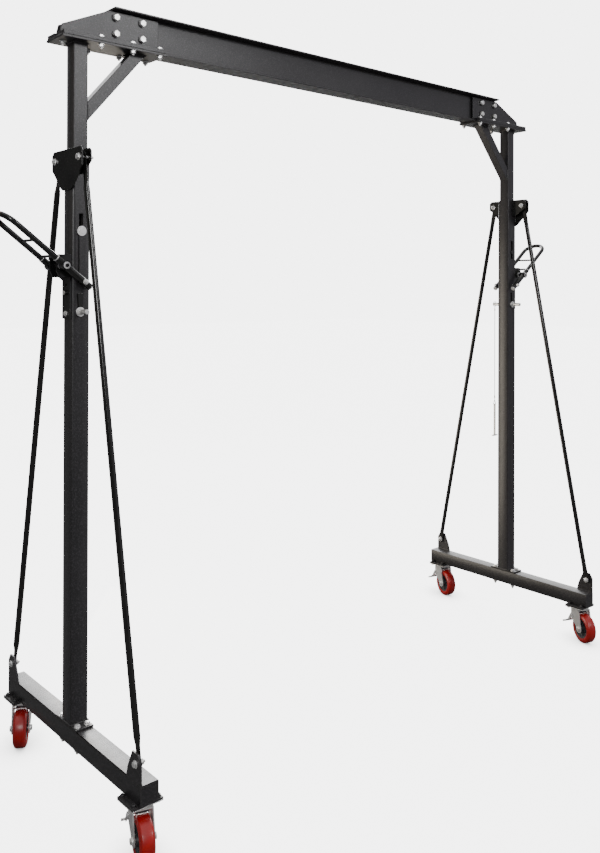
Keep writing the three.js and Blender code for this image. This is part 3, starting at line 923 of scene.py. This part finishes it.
@dataclass
class HeadJoint:
    """Where a leg meets the beam: seat angles, head plate, knee brace, inner post and their bolts."""

    shop: Workshop
    leg: LegFrame
    bolt: float = 0.016
    web_x: tuple = (0.128, 0.226)
    web_drop: tuple = (0.030, 0.083)
    flange_x: tuple = (0.060, 0.175, 0.277)
    end_x: float = -0.050
    web_face: float = 0.0151
    gusset_flange: float = 0.0136
    flange_y: float = 0.047

    def build(self) -> None:
        """Build the joint's pieces."""
        key = self.leg.key
        for node in ("head_plate", "knee_brace", "gusset_a", "gusset_b", "inner_post"):
            self.shop.dress(f"{key}_{node}", "upper_frame", Finish.COAT, 0.001)
        self.bolts()
        self.welds()

    def bolts(self) -> None:
        """Web bolts on dark washers, flange bolts with nuts below, and one bolt past the post."""
        key = self.leg.key
        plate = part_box(f"{key}_head_plate")
        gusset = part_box(f"{key}_gusset_a")
        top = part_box("beam")[1].z
        web, rings = bmesh.new(), bmesh.new()
        for x in self.web_x:
            for drop in self.web_drop:
                for s in (-1.0, 1.0):
                    at = (x, s * self.web_face, top - drop)
                    add_washer(rings, at, (0, s, 0), self.bolt * 0.88, self.bolt * 0.16)
                    lifted = (x, s * (self.web_face + self.bolt * 0.16), top - drop)
                    add_hex(web, lifted, (0, s, 0), self.bolt * 1.3, self.bolt * 0.55)
        self.shop.piece(self.leg.place(web), f"{key}_web_bolts", "upper_frame", Finish.ZINC, (), 30.0)
        self.shop.piece(self.leg.place(rings), f"{key}_web_washers", "upper_frame", Finish.COAT, (), 30.0)
        flange = bmesh.new()
        seat = gusset[0].z + self.gusset_flange
        for x in self.flange_x:
            for s in (-1.0, 1.0):
                add_bolt_head(flange, (x, s * self.flange_y, seat), (0, 0, 1), self.bolt * 0.62, 1.15)
                add_nut_end(flange, (x, s * self.flange_y, plate[0].z), (0, 0, -1), self.bolt * 0.62)
        add_hex(flange, (self.end_x, 0.0, plate[1].z), (0, 0, 1), self.bolt, self.bolt * 0.4)
        add_nut_end(flange, (self.end_x, 0.0, plate[0].z), (0, 0, -1), self.bolt * 0.62)
        self.shop.piece(self.leg.place(flange), f"{key}_flange_bolts", "upper_frame", Finish.ZINC, (), 30.0)

    def welds(self) -> None:
        """Beads round the inner post's head and both ends of the knee brace."""
        key = self.leg.key
        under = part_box(f"{key}_head_plate")[0].z - 0.001
        half = 0.0255
        bm = bmesh.new()
        corners = [(-half, -half), (half, -half), (half, half), (-half, half)]
        for (x0, y0), (x1, y1) in zip(corners, corners[1:] + corners[:1]):
            add_weld(bm, (x0, y0, under), (x1, y1, under), 0.003)
        low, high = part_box(f"{key}_knee_brace")
        reach = high.x - low.x
        for s in (-0.0205, 0.0205):
            add_weld(bm, (half + reach - 0.062, s, under), (half + reach, s, under), 0.0028)
            add_weld(bm, (half, s, low.z + 0.002), (half, s, low.z + 0.052), 0.0028)
        self.shop.piece(self.leg.place(bm), f"{key}_head_welds", "upper_frame", Finish.COAT, (), 60.0)


@dataclass
class LegStand:
    """The outer post, base bar, stay plates and stays of one leg."""

    shop: Workshop
    leg: LegFrame
    stay_radius: float = 0.010
    stay_x: float = -0.018
    stay_top: tuple = (0.082, 2.003)
    stay_foot: tuple = (0.424, 0.272)

    @property
    def body(self) -> str:
        """The CAD body the stand rides on."""
        return f"{self.leg.key}_leg"

    def build(self) -> None:
        """Build the stand's pieces."""
        key = self.leg.key
        for node in ("outer_post", "base_bar"):
            self.shop.dress(f"{key}_{node}", self.body, Finish.COAT, 0.001)
        for node in ("fan_plate", "ear_a", "ear_b"):
            self.shop.dress(f"{key}_{node}", self.body, Finish.ENAMEL, 0.001)
        for name, s in (("a", -1.0), ("b", 1.0)):
            self.stay(name, s)
        self.stay_bolts()
        self.foot_bolts()
        self.welds()
        self.end_caps()

    def stay(self, name: str, s: float) -> None:
        """One round stay whose ends are pressed flat.

        Args:
            name: The stay's letter.
            s: Which side of the post it falls on.
        """
        top = Vector((self.stay_x, s * self.stay_top[0], self.stay_top[1]))
        foot = Vector((self.stay_x, s * self.stay_foot[0], self.stay_foot[1]))
        along = (foot - top).normalized()
        length = (foot - top).length
        # distance from the top bolt, width and thickness of the pressed section
        shape = [
            (-0.014, 0.90, 0.26),
            (-0.010, 1.28, 0.26),
            (0.062, 1.30, 0.26),
            (0.078, 1.22, 0.45),
            (0.092, 1.08, 0.80),
            (0.102, 1.0, 1.0),
            (length - 0.070, 1.0, 1.0),
            (length - 0.060, 1.08, 0.80),
            (length - 0.048, 1.22, 0.45),
            (length - 0.036, 1.30, 0.26),
            (length + 0.010, 1.28, 0.26),
            (length + 0.014, 0.90, 0.26),
        ]
        bm = bmesh.new()
        points = [tuple(top + along * d) for d, _, _ in shape]
        add_sweep(bm, points, self.stay_radius, 24, [(w, t) for _, w, t in shape])
        key = self.leg.key
        node = f"{key}_stay_{name}"
        self.shop.piece(self.leg.place(bm), f"{node}_tube", self.body, Finish.ENAMEL, (node,), 40.0)

    def stay_bolts(self) -> None:
        """The bolts through the stays' flat ends."""
        bm = bmesh.new()
        for s in (-1.0, 1.0):
            y, z = s * self.stay_top[0], self.stay_top[1]
            add_bolt_head(bm, (-0.0364, y, z), (-1, 0, 0), 0.010)
            add_rod(bm, (-0.030, y, z), (-0.0065, y, z), 0.0048, 16)
            add_nut_end(bm, (-0.0018, y, z), (1, 0, 0), 0.010)
            y, z = s * self.stay_foot[0], self.stay_foot[1]
            add_bolt_head(bm, (-0.0302, y, z), (-1, 0, 0), 0.010)
            add_nut_end(bm, (self.stay_x + 0.0028, y, z), (1, 0, 0), 0.010)
        self.shop.piece(self.leg.place(bm), f"{self.leg.key}_stay_bolts", self.body, Finish.ZINC, (), 30.0)

    def foot_bolts(self) -> None:
        """Bolts that hold the post's foot plate to the base bar."""
        bm = bmesh.new()
        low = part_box(f"{self.leg.key}_outer_post")[0].z
        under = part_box(f"{self.leg.key}_base_bar")[0].z + 0.006
        for x in (-0.017, 0.017):
            for y in (-0.050, 0.050):
                add_bolt_head(bm, (x, y, low + 0.006), (0, 0, 1), 0.010, 1.05)
                add_nut_end(bm, (x, y, under), (0, 0, -1), 0.010, 0.7)
        self.shop.piece(self.leg.place(bm), f"{self.leg.key}_foot_bolts", self.body, Finish.ZINC, (), 30.0)

    def welds(self) -> None:
        """Beads round the post's foot, down the fan plate and along the lugs."""
        bm = bmesh.new()
        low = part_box(f"{self.leg.key}_outer_post")[0].z + 0.0065
        h = 0.0303
        corners = [(-h, -h), (h, -h), (h, h), (-h, h)]
        for (x0, y0), (x1, y1) in zip(corners, corners[1:] + corners[:1]):
            add_weld(bm, (x0, y0, low), (x1, y1, low), 0.0035)
        for s in (-1.0, 1.0):
            add_weld(bm, (-h - 0.001, s * 0.0285, 1.925), (-h - 0.001, s * 0.0285, 2.026), 0.003)
            add_weld(bm, (-0.0075, s * 0.0308, 1.960), (-0.0075, s * 0.0308, 2.026), 0.0028)
            add_weld(bm, (-0.0235, s * 0.376, 0.2205), (-0.0235, s * 0.446, 0.2205), 0.003)
        self.shop.piece(self.leg.place(bm), f"{self.leg.key}_stand_welds", self.body, Finish.COAT, (), 60.0)

    def end_caps(self) -> None:
        """Thin caps in the ends of the base bar."""
        bm = bmesh.new()
        low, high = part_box(f"{self.leg.key}_base_bar")
        half = (high.y - low.y) / 2
        for s in (-1.0, 1.0):
            ends = sorted((s * (half - 0.0005), s * (half + 0.0002)))
            add_box(bm, (-0.026, ends[0], 0.164), (0.026, ends[1], 0.216), 0.0)
        self.shop.piece(self.leg.place(bm), f"{self.leg.key}_bar_caps", self.body, Finish.COAT, (), 30.0)


@dataclass
class LeverJack:
    """The lever, its bracket, the jack link and the load pin of one leg."""

    shop: Workshop
    leg: LegFrame
    pivot: tuple = (-0.065, 1.667)
    tilt: float = math.radians(38)
    half: float = 0.052
    reach: float = 0.246
    corner: float = 0.050
    inner: float = 0.112
    socket: float = 0.034
    tube: float = 0.009
    rungs: tuple = (0.046, 0.122)
    rung_radius: float = 0.0045
    arm_radius: float = 0.011
    sleeve_half: float = 0.0128
    sleeve_radius: float = 0.0145
    link_z: float = 1.777
    link_foot: float = 1.604
    pin: tuple = (-0.003, 1.522)

    def build(self) -> None:
        """Build the jack's pieces."""
        key = self.leg.key
        for node in ("lever_bracket", "pawl_plate_a", "pawl_plate_b"):
            self.shop.dress(f"{key}_{node}", f"{key}_leg", Finish.ENAMEL, 0.0008)
        self.lever()
        self.lever_trim()
        self.link()
        self.load_pin()
        self.bracket_trim()

    def at(self, along: float, across: float) -> Vector:
        """A point on the lever: distance outwards from the pivot, and across."""
        c, s = math.cos(self.tilt), math.sin(self.tilt)
        return Vector((self.pivot[0] - along * c, across, self.pivot[1] + along * s))

    def lever(self) -> None:
        """The tube loop, the arms it plugs into and the two rungs."""
        bm = bmesh.new()
        line: list[Vector] = [self.at(self.socket - 0.010, self.half)]
        line += [self.at(self.reach - self.corner - 0.002, self.half)]
        for centre, start in ((self.half - self.corner, 0), (self.corner - self.half, 90)):
            for i in range(9):
                t = math.radians(start + i * 11.25)
                line.append(
                    self.at(
                        self.reach - self.corner + self.corner * math.sin(t),
                        centre + self.corner * math.cos(t),
                    )
                )
        line += [self.at(self.reach - self.corner - 0.002, -self.half)]
        line += [self.at(self.socket - 0.010, -self.half)]
        add_sweep(bm, line, self.tube, 24)
        for y in (-self.half, self.half):
            add_rod(bm, self.at(-self.inner + 0.004, y), self.at(self.socket, y), self.arm_radius, 28)
            x, z = self.pivot
            add_rod(bm, (x, y - self.sleeve_half, z), (x, y + self.sleeve_half, z), self.sleeve_radius, 32)
        for d in self.rungs:
            add_rod(bm, self.at(d, -self.half), self.at(d, self.half), self.rung_radius, 16)
        key = self.leg.key
        body = f"{key}_lever"
        self.shop.piece(self.leg.place(bm), f"{key}_lever_loop", body, Finish.ENAMEL, (body,), 40.0)

    def lever_trim(self) -> None:
        """Bright end plugs, pivot collars and the link studs."""
        bm = bmesh.new()
        post = -self.pivot[0] / math.cos(self.tilt)
        for s in (-1.0, 1.0):
            y = s * self.half
            plug, collar = self.arm_radius * 0.93, self.arm_radius * 0.98
            add_rod(bm, self.at(-self.inner + 0.0045, y), self.at(-self.inner + 0.0005, y), plug, 24)
            add_rod(bm, self.at(self.socket - 0.001, y), self.at(self.socket + 0.0035, y), collar, 24)
            stud = self.at(-post, y)
            add_nut_end(bm, (stud.x, y + s * self.arm_radius * 0.96, stud.z), (0, s, 0), 0.008, 0.3)
            add_rod(bm, (stud.x, s * 0.0368, stud.z), (stud.x, y, stud.z), 0.0048, 16)
        key = self.leg.key
        self.shop.piece(self.leg.place(bm), f"{key}_lever_trim", f"{key}_lever", Finish.ZINC, (), 30.0)

    def link(self) -> None:
        """The jack link: a flat bar and a disc on one face, the cross pin and its cap on the other."""
        key = self.leg.key
        face = 0.0303
        foot, head = self.link_foot, self.link_z
        bar = bmesh.new()
        outline = [(-0.008, foot + 0.008), (-0.0055, foot + 0.0023), (0.0, foot)]
        outline += [(0.0055, foot + 0.0023), (0.008, foot + 0.008), (0.008, head), (-0.008, head)]
        add_prism(bar, outline, Plane.XZ, -face - 0.005, -face)
        add_rod(bar, (0, -face - 0.001, head), (0, face + 0.001, head), 0.006, 20)
        add_rod(bar, (0, face + 0.0004, head), (0, face + 0.0036, head), 0.0088, 28)
        name, body = f"{key}_link_bar", f"{key}_jack_link"
        self.shop.piece(self.leg.place(bar), name, body, Finish.COAT, (f"{key}_jack_link",), 35.0, 0.0006)
        disc = bmesh.new()
        add_rod(disc, (0, -face - 0.0004, head), (0, -face - 0.0058, head), 0.0158, 40)
        add_rod(disc, (0, -face - 0.0055, head), (0, -face - 0.0069, head), 0.0105, 32, tip=0.009)
        self.shop.piece(self.leg.place(disc), f"{key}_link_disc", body, Finish.ZINC, (), 35.0, 0.0006)

    def load_pin(self) -> None:
        """The through pin with chamfered ends, its wide washers, nuts and a split pin through each end."""
        bm = bmesh.new()
        x, z = self.pin
        add_rod(bm, (x, -0.0785, z), (x, 0.0745, z), 0.0078, 32)
        add_rod(bm, (x, -0.080, z), (x, -0.0785, z), 0.0062, 32, tip=0.0078)
        add_rod(bm, (x, 0.0745, z), (x, 0.076, z), 0.0078, 32, tip=0.0062)
        for s in (-1.0, 1.0):
            add_rod(bm, (x, s * 0.0303, z), (x, s * 0.0343, z), 0.0149, 40)
            add_hex(bm, (x, s * 0.0343, z), (0, s, 0), 0.019, 0.008)
            add_rod(bm, (x - 0.011, s * 0.066, z), (x + 0.011, s * 0.066, z), 0.0014, 10)
        key = self.leg.key
        name, hidden = f"{key}_load_pin_turned", (f"{key}_load_pin",)
        self.shop.piece(self.leg.place(bm), name, f"{key}_leg", Finish.ZINC, hidden, 30.0)

    def bracket_trim(self) -> None:
        """Washers on the pivot pin, and bolts and a washer on the long plate."""
        bm = bmesh.new()
        x, z = self.pivot
        for s in (-1.0, 1.0):
            add_washer(bm, (x, s * 0.0262, z), (0, s, 0), 0.012, 0.002)
            add_washer(bm, (x, s * 0.0652, z), (0, s, 0), 0.011, 0.0016)
        for height, y in ((1.690, 0.014), (1.690, -0.014), (1.516, 0.0)):
            add_bolt_head(bm, (-0.0364, y, height), (-1, 0, 0), 0.008, 1.1)
        add_washer(bm, (-0.0433, 0.0, 1.582), (-1, 0, 0), 0.0065, 0.0015)
        key = self.leg.key
        self.shop.piece(self.leg.place(bm), f"{key}_bracket_bolts", f"{key}_leg", Finish.ZINC, (), 30.0)


# ---- Casters ------------------------------------------------------------------------------------
@dataclass
class Caster:
    """One braked swivel caster."""

    shop: Workshop
    leg: LegFrame
    end: str
    wheel_radius: float = 0.0625
    rim: float = 0.042

    @property
    def key(self) -> str:
        """The prefix of this caster's CAD names."""
        return f"{self.leg.key}_{self.end}"

    def joint(self, name: str) -> dict:
        """One of this caster's joints from the record."""
        return next(j for j in frame["joints"] if j["name"] == f"{self.key}_{name}")

    @property
    def matrix(self) -> Matrix:
        """From the caster's own axes, axle along X and trail towards -Y, to the crane's."""
        swivel, spin = self.joint("swivel"), self.joint("wheel_spin")
        x, y, _ = swivel["pos_m"]
        ax, ay, _ = spin["axis"]
        return Matrix.Translation((x, y, 0.0)) @ Matrix.Rotation(math.atan2(ay, ax), 4, "Z")

    def place(self, bm: bmesh.types.BMesh) -> bmesh.types.BMesh:
        """Move a mesh from the caster's axes to the crane's."""
        bmesh.ops.transform(bm, matrix=self.matrix, verts=bm.verts)
        return bm

    def build(self) -> None:
        """Build the caster's pieces."""
        key = self.key
        self.shop.dress(f"{key}_plate", f"{self.leg.key}_leg", Finish.ZINC, 0.0006)
        self.shop.dress(f"{key}_fork", f"{key}_fork", Finish.ZINC, 0.0009)
        self.shop.dress(f"{key}_brake", f"{key}_brake", Finish.ZINC, 0.0007)
        self.tyre()
        self.hub()
        self.fork_trim()
        self.plate_bolts()

    @property
    def axle(self) -> tuple[float, float]:
        """The axle's place in the caster's own Y and Z."""
        return (-0.035, self.wheel_radius)

    def tyre(self) -> None:
        """The cast tread: flat crown, chamfered shoulders, bead against the rim."""
        half = [
            (self.rim, 0.0205),
            (0.0455, 0.0218),
            (0.0502, 0.0227),
            (0.0514, 0.0227),
            (0.0526, 0.0222),
            (0.0588, 0.0190),
            (0.0602, 0.0181),
            (0.0620, 0.0152),
            (0.0625, 0.0132),
        ]
        profile = [(r, -x) for r, x in half] + list(reversed(half))
        bm = bmesh.new()
        y, z = self.axle
        add_spin(bm, profile, (0.0, y, z), 96)
        name, hidden = f"{self.key}_tread", (f"{self.key}_tyre",)
        self.shop.piece(self.place(bm), name, f"{self.key}_wheel", Finish.TREAD, hidden, 50.0)

    def hub(self) -> None:
        """The cored wheel centre with its bearing and lightening holes left as dimples."""
        rim = self.rim - 0.0003
        half = [
            (0.0068, 0.0226),
            (0.0090, 0.0228),
            (0.0128, 0.0225),
            (0.0150, 0.0215),
            (0.0165, 0.0100),
            (0.0185, 0.0085),
            (0.0320, 0.0085),
            (0.0345, 0.0098),
            (0.0378, 0.0178),
            (0.0390, 0.0186),
            (rim, 0.0186),
        ]
        profile = [(r, -x) for r, x in half] + [(r, x) for r, x in reversed(half)]
        bm = bmesh.new()
        y, z = self.axle
        add_spin(bm, profile, (0.0, y, z), 64)
        for i in range(6):
            t = i * math.tau / 6
            cy, cz = y + 0.025 * math.cos(t), z + 0.025 * math.sin(t)
            rib = Vector((0.0, math.cos(t + 0.5), math.sin(t + 0.5)))
            start = Vector((0.0, y, z)) + rib * 0.0155
            end = Vector((0.0, y, z)) + rib * 0.0355
            for s in (-1.0, 1.0):
                shift = Vector((s * 0.0102, 0.0, 0.0))
                add_rod(bm, start + shift, end + shift, 0.0026, 10)
                add_rod(bm, (s * 0.0083, cy, cz), (s * 0.0091, cy, cz), 0.0045, 20)
        name, hidden = f"{self.key}_core", (f"{self.key}_hub",)
        self.shop.piece(self.place(bm), name, f"{self.key}_wheel", Finish.HUB, hidden, 40.0)

    def fork_trim(self) -> None:
        """Axle nut and head, dust shields, two small washers, the yoke rivet and the brake block."""
        bm = bmesh.new()
        y, z = self.axle
        reach = 0.031
        for s in (-1.0, 1.0):
            add_washer(bm, (s * reach, y, z), (s, 0, 0), 0.0115, 0.0016)
            add_hex(bm, (s * (reach + 0.0014), y, z), (s, 0, 0), 0.0178, 0.0052)
            add_washer(bm, (s * reach, 0.014, 0.110), (s, 0, 0), 0.0065, 0.0005)
        add_rod(bm, (0, 0, 0.1385), (0, 0, 0.1345), 0.011, 24, tip=0.0085)
        self.shop.piece(self.place(bm), f"{self.key}_axle_nuts", f"{self.key}_fork", Finish.ZINC, (), 30.0)
        pad = bmesh.new()
        add_box(pad, (-0.0185, -0.026, 0.1275), (0.0185, 0.006, 0.1378), 0.0015)
        self.shop.piece(self.place(pad), f"{self.key}_brake_block", f"{self.key}_fork", Finish.HUB, (), 30.0)

    def plate_bolts(self) -> None:
        """Four bolts through the pad and the caster's plate."""
        bm = bmesh.new()
        low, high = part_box(f"{self.key}_plate")
        cx, cy = (low.x + high.x) / 2, (low.y + high.y) / 2
        top = high.z + 0.0064
        under = high.z - 0.003
        for dx in (-0.040, 0.040):
            for dy in (-0.031, 0.031):
                add_nut_end(bm, (cx + dx, cy + dy, top), (0, 0, 1), 0.008, 0.35)
                add_hex(bm, (cx + dx, cy + dy, under), (0, 0, -1), 0.0128, 0.005)
        self.shop.piece(bm, f"{self.key}_plate_bolts", f"{self.leg.key}_leg", Finish.COAT, (), 30.0)


# ---- Lanyard ------------------------------------------------------------------------------------
@dataclass
class Lanyard:
    """The wire that hangs from the right load pin and the locking pin on it."""

    shop: Workshop
    leg: LegFrame
    radius: float = 0.0015
    top: float = 1.508
    bottom: float = 1.048
    x: float = -0.003
    y: float = -0.072

    def build(self) -> None:
        pin = self.lock_pin()
        ends = self.ferrules()
        wire = self.wire()
        route = self.route()

    def route(self) -> list[list[float]]:
        """The wire's centreline in the crane's axes."""
        count = 30
        step = (self.bottom - self.top) / count
        local = [Vector((self.x, self.y, self.top + step * i)) for i in range(count + 1)]
        return [list(self.leg.matrix @ p) for p in local]

    def wire(self) -> bpy.types.Object:
        """The wire itself, with a lay that turns round it."""
        bm = bmesh.new()
        route = self.route()
        sides = 12
        add_sweep(bm, [tuple(p) for p in route], self.radius, sides)
        layer = bm.loops.layers.uv.new("lay")
        centre = Vector(route[0])
        for face in bm.faces:
            angles = []
            for loop in face.loops:
                d = loop.vert.co - centre
                angles.append(math.atan2(d.y, d.x) / math.tau)
            for loop, a in zip(face.loops, angles):
                wrapped = a + 1.0 if a < angles[0] - 0.5 else a - 1.0 if a > angles[0] + 0.5 else a
                loop[layer].uv = (wrapped, loop.vert.co.z)
        return self.shop.piece(bm, "lanyard_wire", "right_leg", Finish.WIRE, ("lanyard",), 60.0)

    def ferrules(self) -> bpy.types.Object:
        """Crimped sleeves, and the eye at the load pin."""
        bm = bmesh.new()
        for z in (self.top - 0.020, self.bottom + 0.006):
            add_rod(bm, (self.x, self.y, z), (self.x, self.y, z + 0.012), 0.0029, 16)
        ring: list[Point] = []
        z0 = self.pin_height()
        for i in range(25):
            t = math.tau * i / 24
            ring.append((self.x + 0.0125 * math.sin(t), self.y, z0 + 0.0125 * math.cos(t)))
        add_sweep(bm, ring, 0.0013, 10)
        return self.shop.piece(self.leg.place(bm), "lanyard_ferrules", "right_leg", Finish.ZINC, (), 40.0)

    @staticmethod
    def pin_height() -> float:
        """The load pin's height, from its CAD node."""
        low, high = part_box("right_load_pin")
        return (low.z + high.z) / 2

    def lock_pin(self) -> bpy.types.Object:
        """The locking pin keeps its CAD mesh, with a finish and smooth turned faces."""
        node = frame["nodes"]["lock_pin"]
        node.data.materials.clear()
        node.data.materials.append(self.shop.finishes.zinc)
        node.data.shade_smooth()
        node.data.set_sharp_from_angle(angle=math.radians(40))
        return node


# ---- Studio -------------------------------------------------------------------------------------
@dataclass(frozen=True)
class Lobe:
    """A soft patch of light on the surround."""

    yaw: float
    height: float
    inner_deg: float
    outer_deg: float
    colour: tuple

    @property
    def direction(self) -> tuple[float, float, float]:
        """The unit vector towards the patch, yaw measured from +Y towards +X."""
        yaw, height = math.radians(self.yaw), math.radians(self.height)
        flat = math.cos(height)
        return (math.sin(yaw) * flat, math.cos(yaw) * flat, math.sin(height))

    @property
    def inner(self) -> float:
        """Half angle of the full strength part."""
        return math.radians(self.inner_deg)

    @property
    def outer(self) -> float:
        """Half angle where the patch has faded out."""
        return math.radians(self.outer_deg)


@dataclass
class Studio:
    """Plain pale floor, soft lights and the camera."""

    eye: tuple = (-2.4258, -2.5243, 1.5986)
    yaw: float = math.radians(40.90)
    pitch: float = 0.0033
    roll: float = 0.0030
    lens: float = 36.46
    shift: tuple = (0.0066, -0.1656)
    backdrop: float = 5.2
    floor_glow: float = 5.2
    bounce: float = 0.12
    base_light: tuple = (0.06, 0.06, 0.063, 1.0)
    lobes: tuple = (
        Lobe(0.0, 90.0, 15.0, 65.0, (1.3, 1.3, 1.3, 1.0)),
        Lobe(140.0, 8.0, 25.0, 62.0, (0.52, 0.51, 0.55, 1.0)),
        Lobe(-58.0, 2.0, 10.0, 34.0, (0.5, 0.47, 0.43, 1.0)),
        Lobe(40.0, 24.0, 24.0, 52.0, (5.0, 5.0, 5.0, 1.0)),
    )

    def camera(self) -> None:
        """Make the scene's camera."""
        data = bpy.data.cameras.new("camera")
        data.lens = self.lens
        data.sensor_width = 36.0
        data.shift_x, data.shift_y = self.shift
        data.clip_end = 60.0
        obj = bpy.data.objects.new("camera", data)
        bpy.context.scene.collection.objects.link(obj)
        cp = math.cos(self.pitch)
        ahead = Vector((math.sin(self.yaw) * cp, math.cos(self.yaw) * cp, math.sin(self.pitch)))
        level = Vector((math.cos(self.yaw), -math.sin(self.yaw), 0.0))
        up = level.cross(ahead)
        right = level * math.cos(self.roll) + up * math.sin(self.roll)
        top = up * math.cos(self.roll) - level * math.sin(self.roll)
        turn = Matrix((right, top, -ahead)).transposed().to_4x4()
        obj.matrix_world = Matrix.Translation(self.eye) @ turn
        bpy.context.scene.camera = obj

    def floor(self) -> None:
        """A pale seamless floor that the lens sees as bright as the backdrop, with painted contact shadow
        near the crane.
        """
        bm = bmesh.new()
        bmesh.ops.create_grid(bm, x_segments=1, y_segments=1, size=30.0)
        mesh = bpy.data.meshes.new("floor")
        bm.to_mesh(mesh)
        bm.free()
        material, sheet, surface = start_material("studio_floor")
        surface.inputs["Base Color"].default_value = (self.bounce, self.bounce, self.bounce, 1.0)
        surface.inputs["Roughness"].default_value = 0.7
        surface.inputs["Specular IOR Level"].default_value = 0.0
        surface.inputs["Emission Color"].default_value = (1.0, 1.0, 1.0, 1.0)
        rays = sheet.add("ShaderNodeLightPath")
        # ambient occlusion dims the floor's glow near the crane: painted contact shadow
        shade = sheet.add("ShaderNodeAmbientOcclusion", samples=8, Distance=0.10).outputs["AO"]
        glow = sheet.math("MULTIPLY", shade, self.floor_glow)
        seen = sheet.math("MULTIPLY", rays.outputs["Is Camera Ray"], glow)
        sheet.link(seen, surface.inputs["Emission Strength"])
        mesh.materials.append(material)
        obj = bpy.data.objects.new("floor", mesh)
        bpy.context.scene.collection.objects.link(obj)

    def surround(self) -> None:
        """Light from all round: bright beyond the crane, warm on the left, cool and dim in front."""
        world = bpy.data.worlds.new("studio")
        bpy.context.scene.world = world
        world.use_nodes = True
        world.node_tree.nodes.clear()
        sheet = NodeSheet(world.node_tree)
        way = sheet.add("ShaderNodeTexCoord").outputs["Generated"]
        colour: object = self.base_light
        for lobe in self.lobes:
            aim = sheet.add("ShaderNodeVectorMath", operation="DOT_PRODUCT")
            sheet.link(way, aim.inputs[0])
            aim.inputs[1].default_value = lobe.direction
            share = sheet.spread(aim.outputs["Value"], math.cos(lobe.outer), math.cos(lobe.inner))
            soft = sheet.math("POWER", share, 1.6)
            colour = sheet.mix(soft, colour, lobe.colour)
        light = sheet.add("ShaderNodeBackground")
        sheet.link(colour, light.inputs["Color"])
        seen = sheet.add("ShaderNodeBackground", Color=(1.0, 1.0, 1.0, 1.0), Strength=self.backdrop)
        rays = sheet.add("ShaderNodeLightPath")
        both = sheet.add("ShaderNodeMixShader")
        sheet.link(rays.outputs["Is Camera Ray"], both.inputs[0])
        sheet.link(light.outputs[0], both.inputs[1])
        sheet.link(seen.outputs[0], both.inputs[2])
        sheet.link(both.outputs[0], sheet.add("ShaderNodeOutputWorld").inputs["Surface"])

    def lamp(
        self,
        name: str,
        at: Point,
        aim: Point,
        size: tuple[float, float],
        power: float,
        colour: Point = (1.0, 1.0, 1.0),
    ) -> None:
        """A soft rectangular lamp that the lens doesn't see.

        Args:
            name: The lamp's name.
            at: Where it hangs.
            aim: The point it faces.
            size: Its width and height.
            power: Its power in watts.
            colour: Its colour.
        """
        data = bpy.data.lights.new(name, "AREA")
        data.shape = "RECTANGLE"
        data.size, data.size_y = size
        data.energy = power
        data.color = colour
        obj = bpy.data.objects.new(name, data)
        bpy.context.scene.collection.objects.link(obj)
        obj.location = at
        obj.rotation_euler = (Vector(aim) - Vector(at)).to_track_quat("-Z", "Y").to_euler()
        obj.visible_camera = False

    def build(self) -> None:
        """Set the light and the floor."""
        self.surround()
        self.floor()
        self.lamp("key", (-4.2, -4.6, 3.6), (0.0, 0.0, 1.0), (1.4, 1.4), 150.0)
        self.lamp("back", (2.6, 4.6, 3.2), (0.0, 0.0, 1.2), (3.0, 2.0), 160.0)
        self.lamp("side", (1.4, -5.0, 4.1), (-1.2, 0.0, 2.4), (1.2, 1.2), 90.0)
        self.lamp("between", (-0.4, 1.3, 0.9), (1.15, 0.0, 0.9), (0.8, 1.8), 26.0, (1.0, 0.9, 0.76))


def main() -> None:
    """Build the crane, sub-assembly by sub-assembly, and report the pieces."""
    logging.basicConfig(level=logging.INFO, format="%(message)s")
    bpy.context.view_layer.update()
    studio = Studio()
    studio.camera()
    shop = Workshop(Finishes())
    legs = [LegFrame(Side.LEFT), LegFrame(Side.RIGHT)]
    Lanyard(shop, legs[1]).build()
    BeamSection(shop).build()
    for leg in legs:
        HeadJoint(shop, leg).build()
        LegStand(shop, leg).build()
        LeverJack(shop, leg).build()
        for end in ("near", "far"):
            Caster(shop, leg, end).build()
    studio.build()
    for name in shop.made:
        LOG.info("piece %s", name)
    LOG.info("%d pieces", len(shop.made))


if __name__ == "__main__":
    main()
